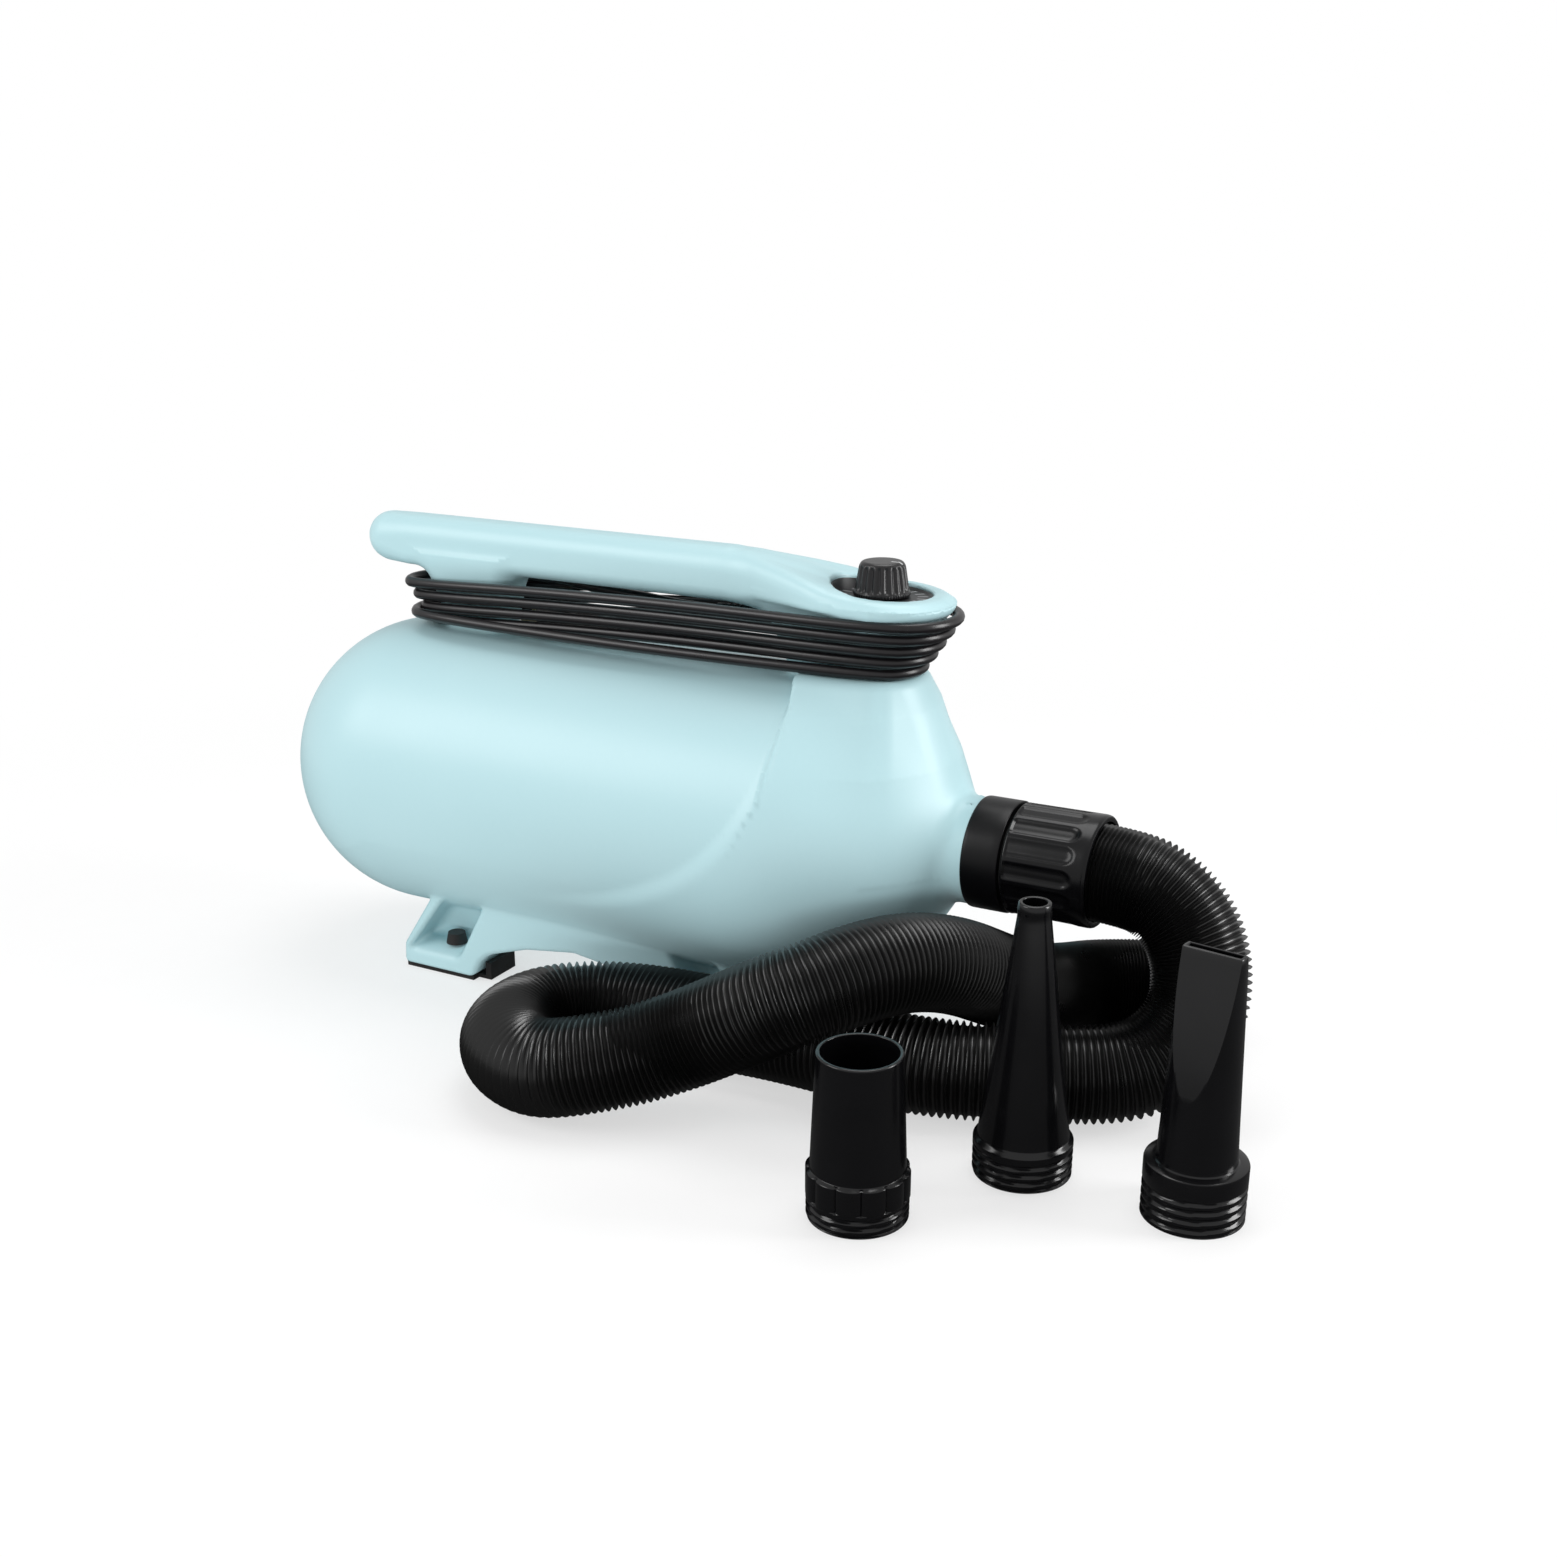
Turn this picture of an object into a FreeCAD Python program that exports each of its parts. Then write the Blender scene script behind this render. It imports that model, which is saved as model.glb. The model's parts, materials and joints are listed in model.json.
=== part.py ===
import FreeCAD, Part
import math
import os

# Forced-air pet dryer with its wound mains cord, ribbed hose and three loose nozzles.
# Millimetres. +X points out of the air outlet, +Z up, origin on the floor under the middle of the feet.

Vec = FreeCAD.Vector

# Housing sizes
axis_height = 127.0
tank_radius = 94.0
wall = 3.0
tank_back_x = -138.0
tank_front_x = 147.0

# Front housing, which stands a little proud of the tank
proud_start_x = 9.0
proud_x = 60.0
proud_step = 3.0
nose_bend_x = 150.0
nose_corner_x = 213.0
nose_corner_radius = 64.0
spigot_start_x = 233.5
spigot_end_x = 251.0
spigot_radius = 31.0
sweep_center_x = -31.0
sweep_center_z = axis_height + 70.0
sweep_long = 178.0
sweep_short = 112.0
ledge_z = axis_height + tank_radius + 4.0
# Shoulder levels: share of the way from the axis to the ledge, (x, half width) of the back, side and tip
# corners, and the side corner's radius
shoulder_levels = [(0.0, (110, 86), (205, 58), (236, 16), 18), (0.51, (114, 78), (206, 51), (228, 14), 18),
                   (0.816, (118, 55), (201, 40), (217, 12), 16), (1.0, (120, 38), (194, 30), (207, 12), 12)]
shoulder_tip_radius = 8.0

# Handle, rear post and the column that carries the knob platform
handle_bottom_z = ledge_z + 32.0
platform_bottom_z = ledge_z + 37.0
handle_height = 31.3
handle_half_width = 16.0
handle_tip_x = -184.0
handle_end_x = 100.0
post_back_x = -158.0
post_front_x = -66.0
post_half_width = 15.5
post_back_draft = 43.0
post_front_draft = 14.0
post_foot_z = ledge_z - 18.0
column_back_x = 109.0
column_front_x = 222.5
column_half_width = 34.5
column_draft_back = 18.0
column_draft_front = 29.0
column_draft_side = 15.5
platform_back_x = 82.0
flare_start_x = 98.0
flare_end_x = 156.0
platform_front_x = 221.0
platform_half_width = 35.5

# Speed knob and dial
dial_x = 180.0
dial_z = platform_bottom_z + 6.0
dial_rim = 3.5
rim_slope = 1.5
back_rim_rise = 6.0
dial_long = 29.5
dial_short = 26.0
plate_thickness = 2.0
knob_radius = 15.5
knob_top_radius = 12.9
knob_height = 20.0
knob_flutes = 20
pot_shaft_radius = 3.0
pot_radius = 11.0
lead_radius = 1.3
lead_x = 167.0
lead_y = 7.0
# The leads' way inside the housing, with heights above the blower's axis
lead_points = [(158, 9, 84), (122, 15, 76), (70, 26, 73), (20, 34, 63), (-8, 32, 57), (-20, 34, 41),
               (-22.5, 36, 23)]
board_back_x = 138.0
board_front_x = 206.0
board_half_width = 18.0
sink_back_x = 170.0
sink_front_x = 192.0
sink_half_width = 13.0
capacitor_back_x = 146.0
capacitor_front_x = 164.0
bushing_radius = 4.2

# Skirt, feet and rubber pads
skirt_half_length = 136.0
skirt_half_width = 60.0
skirt_top_z = 70.0
end_top_x = 99.0
foot_length = 57.0
foot_top_z = 19.0
pad_thickness = 3.0
arch_z = 35.0
pocket_depth = 23.0
stem_place = (100.5, 47.0)
stem_radius = 3.0
stem_head_radius = 7.0
stem_head_height = 7.0
rubber_half_width = 21.0
toe_half_width = 13.0
toe_height = 12.0

# Air intake at the back
cover_radius = 45.0
cover_gap = 0.3
filter_radius = 37.0
filter_thickness = 12.0
filter_seat_x = tank_back_x - tank_radius + 16.0

# Blower
fan_back_x = -168.0
fan_radius = 70.0
fan_length = 60.0
first_impeller_x = -160.0
second_impeller_x = -128.0
impeller_width = 14.5
diffuser_x = -143.0
impeller_radius = 62.0
shaft_radius = 5.0
shaft_fit = 0.05
motor_front_x = -4.0
field_radius = 44.0
armature_radius = 24.0
commutator_radius = 13.0
commutator_length = 11.0
brush_x = -27.0
brush_width = 8.0
holder_top = 5.5
bearing_radius = 13.0
bearing_width = 9.0
bracket_hub_radius = 18.7
mount_radius = 22.0
inlet_radius = 28.0
field_x0 = -82.0
field_x1 = -38.0
bracket_bar_width = 10.0
tab_thickness = 2.5
motor_screw_place = 62.0
motor_screw_radius = 1.6
free_gap = 0.3

# Air outlet, coupling and hose
adapter_radius = 32.4
adapter_end_x = 268.0
thread_end_x = 280.0
coupling_end_x = 319.0
coupling_radius = 32.2
coupling_tail = 2.5
coupling_flats = 15
hose_radius = 27.5
hose_root_radius = 24.6
hose_bore_radius = 20.0
hose_ribs = 198
thread_radius = 26.0
hose_points = [(289, 0, 127), (337, 0, 127), (357, 0, 119), (372, -1, 104), (380, -4, 84), (382, -11, 62),
               (375, -22, 44), (363, -34, 33), (346, -45, 28.5), (324, -56, 28), (299, -68, 28),
               (270, -80, 28), (240, -86, 28), (208, -87, 28), (176, -86, 28), (147, -87, 28), (119, -91, 28),
               (90, -93, 28), (61, -99, 28), (37, -111, 28), (22, -133, 28), (23, -159, 28), (40, -181, 28),
               (66, -190, 28), (92, -180, 33), (115, -166, 38), (138, -153, 47), (160, -147, 59),
               (183, -142, 72), (205, -130, 82), (224, -105, 88), (240, -79, 87), (254, -51, 77),
               (264, -20, 59), (273, 10, 42), (284, 38, 33.5), (304, 63, 32), (338, 78, 32)]
cuff_length = 45.0
cuff_radius = 30.5

# Mains cord
cord_radius = 3.2
cord_clearance = 0.5
lean_clearance = 1.3
front_slack = 2.8
cord_turns = 5
relief_length = 42.0
relief_radius = 6.5
relief_neck_radius = 5.0
relief_z = ledge_z + 24.0
# Heights of the winding, all above the ledge: (height, distance out) of each turn at the post, then the
# height at the column, how far the runs between them rise and bulge, and the cord's first and last points
back_levels = [(22.0, 0.0), (14.7, 0.0), (7.5, 0.0), (0.3, 0.0), (4.2, 8.6)]
front_levels = [33.0, 25.5, 18.2, 11.3, 3.8]
near_rise = (0.55, 0.9)
near_bulge = [1.5, 1.0, 1.4, 1.0, 7.0]
far_bulge = [0.8, 0.8, -3.0, 6.0]
far_drop = [1.8, 1.8, 1.8, 0.6]
cord_start = [(51, 0, 24), (22, 5, 25), (-22, 14, 25), (-64, 19.5, 27.5)]
cord_tail = [(118, 24.5, 3.6), (95, 17, 5), (68, 8, 5.5), (40, 2, 5.7), (16, 0, 5.7), (-10, 0, 5.7)]
plug_face_x = -50.0

# Loose nozzles, which stand on the floor
nozzle_thread_radius = 26.2
nozzle_bore_radius = 22.0
nozzle_wall = 2.2
short_nozzle_place = (267.0, -199.0)
short_nozzle_height = 90.0
short_mouth_radius = 21.8
cone_nozzle_place = (323.5, -118.5)
cone_nozzle_height = 151.0
cone_tip_radius = 8.4
flat_nozzle_place = (415.0, -118.0)
flat_nozzle_turn = -6.0
flat_nozzle_height = 143.0
flat_tube_radius = 20.2
flat_top_radius = 15.8
flat_mouth_width = 6.5

# Fits and fasteners
fit_gap = 0.1
screw_radius = 1.9
screw_head_radius = 3.6
boss_radius = 5.0


# General shapes

def box(x0, x1, y0, y1, z0, z1):
    return Part.makeBox(x1 - x0, y1 - y0, z1 - z0, Vec(x0, y0, z0))


def rod_x(x0, x1, radius, y=0.0, z=axis_height):
    return Part.makeCylinder(radius, x1 - x0, Vec(x0, y, z), Vec(1, 0, 0))


def ring_x(x0, x1, outer, inner, y=0.0, z=axis_height):
    return rod_x(x0, x1, outer, y, z).cut(rod_x(x0 - 1, x1 + 1, inner, y, z))


def rod_z(x, y, z0, z1, radius):
    return Part.makeCylinder(radius, z1 - z0, Vec(x, y, z0), Vec(0, 0, 1))


def rod_y(x, z, y0, y1, radius):
    return Part.makeCylinder(radius, y1 - y0, Vec(x, y0, z), Vec(0, 1, 0))


def join(shapes):
    shapes = list(shapes)
    return shapes[0].fuse(shapes[1:]).removeSplitter() if len(shapes) > 1 else shapes[0]


def rounded_edges(points, radii, closed=True):
    """Edges through the points in turn, with each corner rounded by its radius (0 leaves it sharp)."""
    count = len(points)
    starts, ends, arcs = [], [], []
    for i, point in enumerate(points):
        radius = radii[i]
        if radius <= 0 or (not closed and i in (0, count - 1)):
            starts.append(point)
            ends.append(point)
            arcs.append(None)
            continue
        before = (points[i - 1] - point).normalize()
        after = (points[(i + 1) % count] - point).normalize()
        half = before.getAngle(after) / 2
        reach = radius / math.tan(half)
        middle = (before + after).normalize()
        center = point + middle * (radius / math.sin(half))
        starts.append(point + before * reach)
        ends.append(point + after * reach)
        arcs.append(center - middle * radius)
    edges = []
    for i in range(count):
        if arcs[i] is not None:
            edges.append(Part.Arc(starts[i], arcs[i], ends[i]).toShape())
        if i + 1 < count or closed:
            target = starts[(i + 1) % count]
            if (target - ends[i]).Length > 1e-4:
                edges.append(Part.LineSegment(ends[i], target).toShape())
    return edges


def rounded_wire(points, radii, closed=True):
    return Part.Wire(rounded_edges(points, radii, closed))


def extrude_y(profile, radii, half_width):
    """Side-view outline in XZ, pulled from -half_width to +half_width."""
    points = [Vec(x, -half_width, z) for x, z in profile]
    return Part.Face(rounded_wire(points, radii)).extrude(Vec(0, 2 * half_width, 0))


def extrude_z(outline, radii, z0, z1):
    points = [Vec(x, y, z0) for x, y in outline]
    return Part.Face(rounded_wire(points, radii)).extrude(Vec(0, 0, z1 - z0))


def turn_x(profile, radii):
    """Solid of revolution about the blower axis of an open outline of (x, radius) points."""
    points = [Vec(x, 0, r) for x, r in profile]
    edges = rounded_edges(points, radii, closed=False)
    first, last = points[0], points[-1]
    if last.z > 1e-6:
        edges.append(Part.LineSegment(last, Vec(last.x, 0, 0)).toShape())
    edges.append(Part.LineSegment(Vec(last.x, 0, 0), Vec(first.x, 0, 0)).toShape())
    if first.z > 1e-6:
        edges.append(Part.LineSegment(Vec(first.x, 0, 0), first).toShape())
    solid = Part.Face(Part.Wire(edges)).revolve(Vec(0, 0, 0), Vec(1, 0, 0), 360)
    solid.translate(Vec(0, 0, axis_height))
    return solid


def turn_z(profile, place):
    """Solid of revolution about an upright axis at the place, of a closed (radius, z) outline."""
    x, y = place
    points = [Vec(x + r, y, z) for r, z in profile]
    face = Part.Face(Part.makePolygon(points + [points[0]]))
    return face.revolve(Vec(x, y, 0), Vec(0, 0, 1), 360)


def upright_loft(sections):
    """Loft through level outlines, each given as (z, outline points, corner radii)."""
    wires = []
    for z, outline, radii in sections:
        wires.append(rounded_wire([Vec(x, y, z) for x, y in outline], radii))
    return Part.makeLoft(wires, True, False)


def mirrored(half):
    """Closed outline from its near half, with Y below zero, and the same half across the middle."""
    return list(half) + [(x, -y) for x, y in reversed(half)]


# Routes of cords, leads and the hose

def route_arcs(points, share=0.45):
    """Straight runs joined by tangent arcs, as edges, with each arc's radius."""
    radii = [0.0] * len(points)
    for i in range(1, len(points) - 1):
        before = points[i - 1] - points[i]
        after = points[i + 1] - points[i]
        half = before.getAngle(after) / 2
        radii[i] = share * min(before.Length, after.Length) * math.tan(half)
    return rounded_edges(points, radii, closed=False), radii[1:-1]


def tube(points, radius, name=""):
    """Round tube along a route, with its sweep checked against section times length."""
    edges, radii = route_arcs(points)
    path = Part.Wire(edges)
    start = edges[0].valueAt(edges[0].FirstParameter)
    along = edges[0].tangentAt(edges[0].FirstParameter)
    section = Part.Wire(Part.makeCircle(radius, start, along))
    solid = path.makePipeShell([section], True, False)
    if name:
        share = solid.Volume / (math.pi * radius ** 2 * path.Length)
        print(f"{name}: length {path.Length:.1f}, least bend radius {min(radii):.1f}, share {share:.4f}")
    return solid


def points_along(edges, count):
    """Evenly spaced points on a chain of edges, each with the direction there."""
    total = sum(edge.Length for edge in edges)
    placed = []
    for k in range(count):
        rest = total * k / (count - 1)
        for edge in edges:
            if rest <= edge.Length + 1e-9 or edge is edges[-1]:
                at = edge.getParameterByLength(min(rest, edge.Length))
                placed.append((edge.valueAt(at), edge.tangentAt(at)))
                break
            rest -= edge.Length
    return placed, total


# Outer and inner forms of the housing, where inset is 0 outside and the wall thickness inside

def tank_form(inset):
    radius = tank_radius - inset
    back = Vec(tank_back_x - radius, 0, 0)
    middle = Vec(tank_back_x - radius * math.sqrt(0.5), 0, radius * math.sqrt(0.5))
    top = Vec(tank_back_x, 0, radius)
    front = Vec(tank_front_x - inset, 0, radius)
    foot = Vec(tank_front_x - inset, 0, 0)
    edges = [Part.Arc(back, middle, top).toShape(), Part.LineSegment(top, front).toShape(),
             Part.LineSegment(front, foot).toShape(), Part.LineSegment(foot, back).toShape()]
    solid = Part.Face(Part.Wire(edges)).revolve(Vec(0, 0, 0), Vec(1, 0, 0), 360)
    solid.translate(Vec(0, 0, axis_height))
    return solid


def nose_form(inset):
    proud_radius = tank_radius + proud_step
    spigot_far = spigot_end_x + (1 if inset else 0)
    profile = [(proud_start_x, tank_radius - inset), (proud_x, proud_radius - inset),
               (nose_bend_x, proud_radius - inset), (nose_corner_x - inset / 2, nose_corner_radius - inset),
               (spigot_start_x - inset / 2, spigot_radius - inset), (spigot_far, spigot_radius - inset)]
    return turn_x(profile, [0, 0, 110, 24, 9, 0])


def shoulder_form(inset):
    """Upper front of the housing, which narrows from the tank's width up to the column."""
    sections = []
    for share, back, side, tip, side_radius in shoulder_levels:
        level = axis_height + share * (ledge_z - axis_height) - (inset if share == 1 else 0)
        half = [(back[0] + inset, inset - back[1])] + [(x - inset, inset - w) for x, w in (side, tip)]
        radii = [4, side_radius, shoulder_tip_radius]
        sections.append((level, mirrored(half), radii + radii[::-1]))
    return upright_loft(sections)


def sweep_cutter(grow=0.0):
    """Elliptic cylinder whose edge is the swept step between the tank and the front housing."""
    ellipse = Part.Ellipse(Vec(0, 0, 0), sweep_long + grow, sweep_short + grow)
    solid = Part.Face(Part.Wire(ellipse.toShape())).extrude(Vec(0, 0, 300))
    solid.rotate(Vec(0, 0, 0), Vec(1, 0, 0), 90)
    solid.translate(Vec(sweep_center_x, 150, sweep_center_z))
    return solid


def post_form(inset):
    """Rear post under the grip, with round ends."""
    sections = []
    for z, share in ((post_foot_z, 1.0), (handle_bottom_z + wall, 0.0)):
        a = post_back_x + post_back_draft * share + inset
        b = post_front_x - post_front_draft * share - inset
        w = post_half_width - 2.5 * share - inset
        sections.append((z, [(a, -w), (b, -w), (b, w), (a, w)], [w - 0.5] * 4))
    return upright_loft(sections)


def column_form(inset):
    """Column under the knob, round in front, as narrow as the grip behind, and tapered downwards."""
    sections = []
    for z, share in ((ledge_z - wall, 1.0), (platform_bottom_z + wall, 0.0)):
        a = column_back_x + column_draft_back * share + inset
        b = column_front_x - column_draft_front * share - inset
        w = column_half_width - column_draft_side * share - inset
        narrow = handle_half_width - 3.0 * share - inset
        waist = a + (b - a - w) * 0.8
        half = [(a, -narrow), (waist, -w), (b, -w)]
        scale = w / (column_half_width - inset)
        radii = [6.0 - inset, 20.0 * scale, (column_half_width - inset - 1.0) * scale]
        sections.append((z, mirrored(half), radii + radii[::-1]))
    return upright_loft(sections)


def handle_form(inset):
    """Grip bar with a rounded section and a round rear tip."""
    half = handle_half_width - inset
    low = handle_bottom_z + inset
    high = handle_bottom_z + handle_height - inset
    tip_x = handle_tip_x + handle_half_width
    outline = [Vec(tip_x, -half, low), Vec(tip_x, half, low), Vec(tip_x, half, high), Vec(tip_x, -half, high)]
    radii = [9.0 - inset, 9.0 - inset, 13.0 - inset, 13.0 - inset]
    bar = Part.Face(rounded_wire(outline, radii)).extrude(Vec(handle_end_x - tip_x, 0, 0))
    half_outline = [Vec(tip_x, 0, low), Vec(tip_x, half, low), Vec(tip_x, half, high), Vec(tip_x, 0, high)]
    half_face = Part.Face(rounded_wire(half_outline, [0, 9.0 - inset, 13.0 - inset, 0]))
    tip = half_face.revolve(Vec(tip_x, 0, low), Vec(0, 0, 1), 180)
    return bar.fuse(tip)


def platform_form(inset):
    """Knob platform: a keyhole outline from above, cut by its sloping side view."""
    w = platform_half_width - inset
    grip = handle_half_width - inset
    front = platform_front_x - inset
    half = [(platform_back_x, -grip), (flare_start_x, -grip), (flare_end_x, -w), (front, -w)]
    plan = extrude_z(mirrored(half), [0, 40, 60, w - 2.5, w - 2.5, 60, 40, 0], handle_bottom_z - 5, 300)
    top = handle_bottom_z + handle_height
    rim = dial_z + dial_rim - inset
    front_rim = rim - rim_slope
    low = platform_bottom_z + (0 if inset == 0 else -4)
    side = [(platform_back_x, low), (platform_back_x, top - 0.5 - inset), (flare_start_x, top - 2 - inset),
            (flare_start_x + 20, top - 5 - inset), (flare_end_x - 10, rim + back_rim_rise), (dial_x, rim),
            (front, front_rim), (front, low)]
    return plan.common(extrude_y(side, [0, 0, 40, 50, 40, 40, 0.5 if inset else 2.6, 0 if inset else 2], 60))


def skirt_form():
    """Skirt under the tank with a foot at each end and an arch between them."""
    length = skirt_half_length
    inner = length - foot_length
    half = [(0, skirt_top_z), (-end_top_x, skirt_top_z), (1 - length, foot_top_z - 3),
            (-length, pad_thickness), (-inner, pad_thickness), (-inner + 8, arch_z - 17),
            (-37, arch_z - 5.2), (0, arch_z)]
    radii = [0, 0, 6, 2, 3, 10, 40, 0]
    other = [(-x, z) for x, z in reversed(half[1:-1])]
    outline = half + other
    all_radii = radii + list(reversed(radii[1:-1]))
    body = extrude_y(outline, all_radii, skirt_half_width)
    for side in (-1, 1):
        for end in (-1, 1):
            body = body.cut(foot_pocket(end, side))
    return body


def foot_pocket(end, side):
    """Scalloped recess above a foot, between its two slanting pillars."""
    outline = [(126, foot_top_z), (95.5, 58), (66, 58), (88, foot_top_z)]
    points = [Vec(end * x, 0, z) for x, z in outline]
    face = Part.Face(rounded_wire(points, [5, 0, 0, 5]))
    block = face.extrude(Vec(0, side * (pocket_depth + 20), 0))
    block.translate(Vec(0, side * (skirt_half_width - pocket_depth), 0))
    return block


def skirt_cavity():
    """Hollow of the rail over the arch and one in each pair of feet, which follows its slanting end."""
    inner = skirt_half_width - wall
    cavities = [box(-54, 54, -inner, inner, arch_z + wall, skirt_top_z + 5)]
    narrow = skirt_half_width - pocket_depth - wall
    near, far = skirt_half_length - foot_length + wall, skirt_half_length - wall
    low, high = pad_thickness + wall, 50.0
    slope = (skirt_half_length - 1 - end_top_x) / (skirt_top_z - foot_top_z + 3)
    far_top = end_top_x + slope * (skirt_top_z - high) - 1.3 * wall
    for end in (-1, 1):
        outline = [(near, low), (far, low), (far - 2, foot_top_z - 3), (far_top, high), (near, high)]
        cavities.append(extrude_y([(end * x, z) for x, z in outline], [0] * 5, narrow))
    return cavities


def intake_pocket():
    """Ring behind the rear opening that holds the foam filter and carries the cover."""
    depth = filter_thickness + wall
    outer = rod_x(filter_seat_x, filter_seat_x + depth, filter_radius + wall)
    flange = rod_x(filter_seat_x, filter_seat_x + wall, cover_radius + wall)
    bore = rod_x(filter_seat_x - 1, filter_seat_x + filter_thickness, filter_radius + 0.2)
    mouth = rod_x(filter_seat_x, filter_seat_x + depth + 1, filter_radius - 5)
    return outer.fuse(flange), bore.fuse(mouth)


def air_passage():
    """Opening between the tank's hollow and the front housing's."""
    return rod_x(tank_front_x - 12, tank_front_x + 9, tank_radius - 2 * wall)


def fan_bulkhead():
    """Ring wall that seals the blower's inlet side from its outlet side."""
    x1 = fan_back_x - 3.0
    return ring_x(x1 - wall, x1, tank_radius - 1, fan_radius - 14).common(tank_form(wall / 2))


def motor_spider():
    """Hub and four arms that carry the front of the motor inside the shells."""
    x0, x1 = motor_front_x - 6, motor_front_x
    hub = ring_x(x0, x1, mount_radius + 6, mount_radius)
    arms = []
    for turn in (45, 135, 225, 315):
        arm = box(x0, x1, -3, 3, mount_radius + 4, tank_radius - 1)
        arm.rotate(Vec(0, 0, 0), Vec(1, 0, 0), turn)
        arm.translate(Vec(0, 0, axis_height))
        arms.append(arm)
    return join([hub] + arms)


grip_middle_z = handle_bottom_z + handle_height / 2
screw_places = [(-165, grip_middle_z), (-20, grip_middle_z), (72, grip_middle_z), (-108, ledge_z + 13),
                (-88, 12), (88, 12)]


def boss_reach(z):
    """How far a screw boss runs from the middle towards each side."""
    if z < 60:
        return skirt_half_width - pocket_depth - wall
    return handle_half_width - wall if z > handle_bottom_z else post_half_width - wall - 1


def screw_bosses():
    return [rod_y(x, z, -boss_reach(z) - 1, boss_reach(z) + 1, boss_radius) for x, z in screw_places]


def screw_holes():
    holes = []
    for x, z in screw_places:
        reach = boss_reach(z)
        holes.append(rod_y(x, z, -reach + 3, reach + 40, screw_radius))
        holes.append(rod_y(x, z, reach - 2, skirt_half_width + 5, screw_head_radius + 0.3))
    return holes


def on_dial(shape):
    """Stands a shape, made about the origin, on the dial plate's upper face."""
    shape.translate(Vec(dial_x, 0, dial_z))
    return shape


def dial_oval(long, short, z0, z1):
    ellipse = Part.Ellipse(Vec(0, 0, z0), long, short)
    return Part.Face(Part.Wire(ellipse.toShape())).extrude(Vec(0, 0, z1 - z0))


def housing():
    """Whole housing before it is parted into its two shells."""
    front = join([nose_form(0), shoulder_form(0)]).cut(sweep_cutter())
    outer = join([tank_form(0), front, post_form(0), column_form(0), handle_form(0), platform_form(0),
                  skirt_form()])
    inner_front = join([nose_form(wall), shoulder_form(wall)]).cut(sweep_cutter(wall))
    cavities = [tank_form(wall), inner_front, post_form(wall), column_form(wall), handle_form(wall),
                platform_form(wall)]
    hollow = outer
    for cavity in cavities + skirt_cavity():
        hollow = hollow.cut(cavity)
    pocket, pocket_bore = intake_pocket()
    added = [pocket, fan_bulkhead(), motor_spider()] + screw_bosses()
    added.append(on_dial(dial_oval(dial_long + wall, dial_short + wall, -plate_thickness - wall, 1)))
    body = hollow.fuse(added).removeSplitter()
    seat = rod_x(tank_back_x - tank_radius - 5, filter_seat_x, cover_radius + cover_gap)
    cuts = [pocket_bore, air_passage(), seat]
    cuts.append(on_dial(dial_oval(dial_long, dial_short, -plate_thickness, 30)))
    cuts.append(on_dial(dial_oval(dial_long - 4, dial_short - 4, -8, 0)))
    cuts.append(rod_x(column_back_x - 5, column_back_x + 30, relief_neck_radius + fit_gap, 0, relief_z))
    return body.cut(cuts + screw_holes() + stem_holes())


def shell_half(body, side):
    """One moulded shell: everything on one side of the middle plane."""
    y0, y1 = sorted((0.0, side * 140.0))
    return body.common(box(-300, 300, y0, y1, -10, 320))


def housing_screws():
    """Self-tapping screws, put in from the right side."""
    screws = []
    for x, z in screw_places:
        head_y = boss_reach(z) - 2
        shank = rod_y(x, z, -boss_reach(z) + 4, head_y, screw_radius - fit_gap)
        head = rod_y(x, z, head_y, head_y + 2.4, screw_head_radius)
        recess = rod_y(x, z, head_y + 1, head_y + 3, screw_radius * 0.6)
        screws.append(shank.fuse(head).cut(recess))
    return Part.makeCompound(screws)


# Rubber feet

def end_box(end, near, far, middle_y, half_y, z0, z1):
    """Box at one end of the dryer, between two distances from its middle."""
    x0, x1 = sorted((end * near, end * far))
    return box(x0, x1, middle_y - half_y, middle_y + half_y, z0, z1)


def rubber_feet():
    """Four pads under the feet, each with a bumper at its inner end and a pull-through stem."""
    pads = []
    inner = skirt_half_length - foot_length
    stem_x, stem_y = stem_place
    half_pad = rubber_half_width
    for end in (-1, 1):
        for side in (-1, 1):
            middle = side * (16 + half_pad)
            pad = end_box(end, inner + 1, skirt_half_length - 2, middle, half_pad, 0, pad_thickness)
            toe_y = side * (skirt_half_width - 20)
            toe = end_box(end, inner - 9.5, inner - 5.3, toe_y, toe_half_width, 0.5, toe_height)
            link = end_box(end, inner - 6, inner + 2, toe_y, toe_half_width, 0.5, pad_thickness - 0.1)
            stem = rod_z(end * stem_x, side * stem_y, pad_thickness - 1, foot_top_z + 0.1, stem_radius)
            head = Part.makeCone(stem_head_radius, stem_head_radius - 1.4, stem_head_height,
                                 Vec(end * stem_x, side * stem_y, foot_top_z + 0.1))
            pads.append(join([pad, toe, link, stem, head]))
    return Part.makeCompound(pads)


def stem_holes():
    holes = []
    for end in (-1, 1):
        for side in (-1, 1):
            x, y = end * stem_place[0], side * stem_place[1]
            holes.append(rod_z(x, y, 0, foot_top_z + 1, stem_radius + fit_gap))
    return holes


# Air intake

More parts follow.
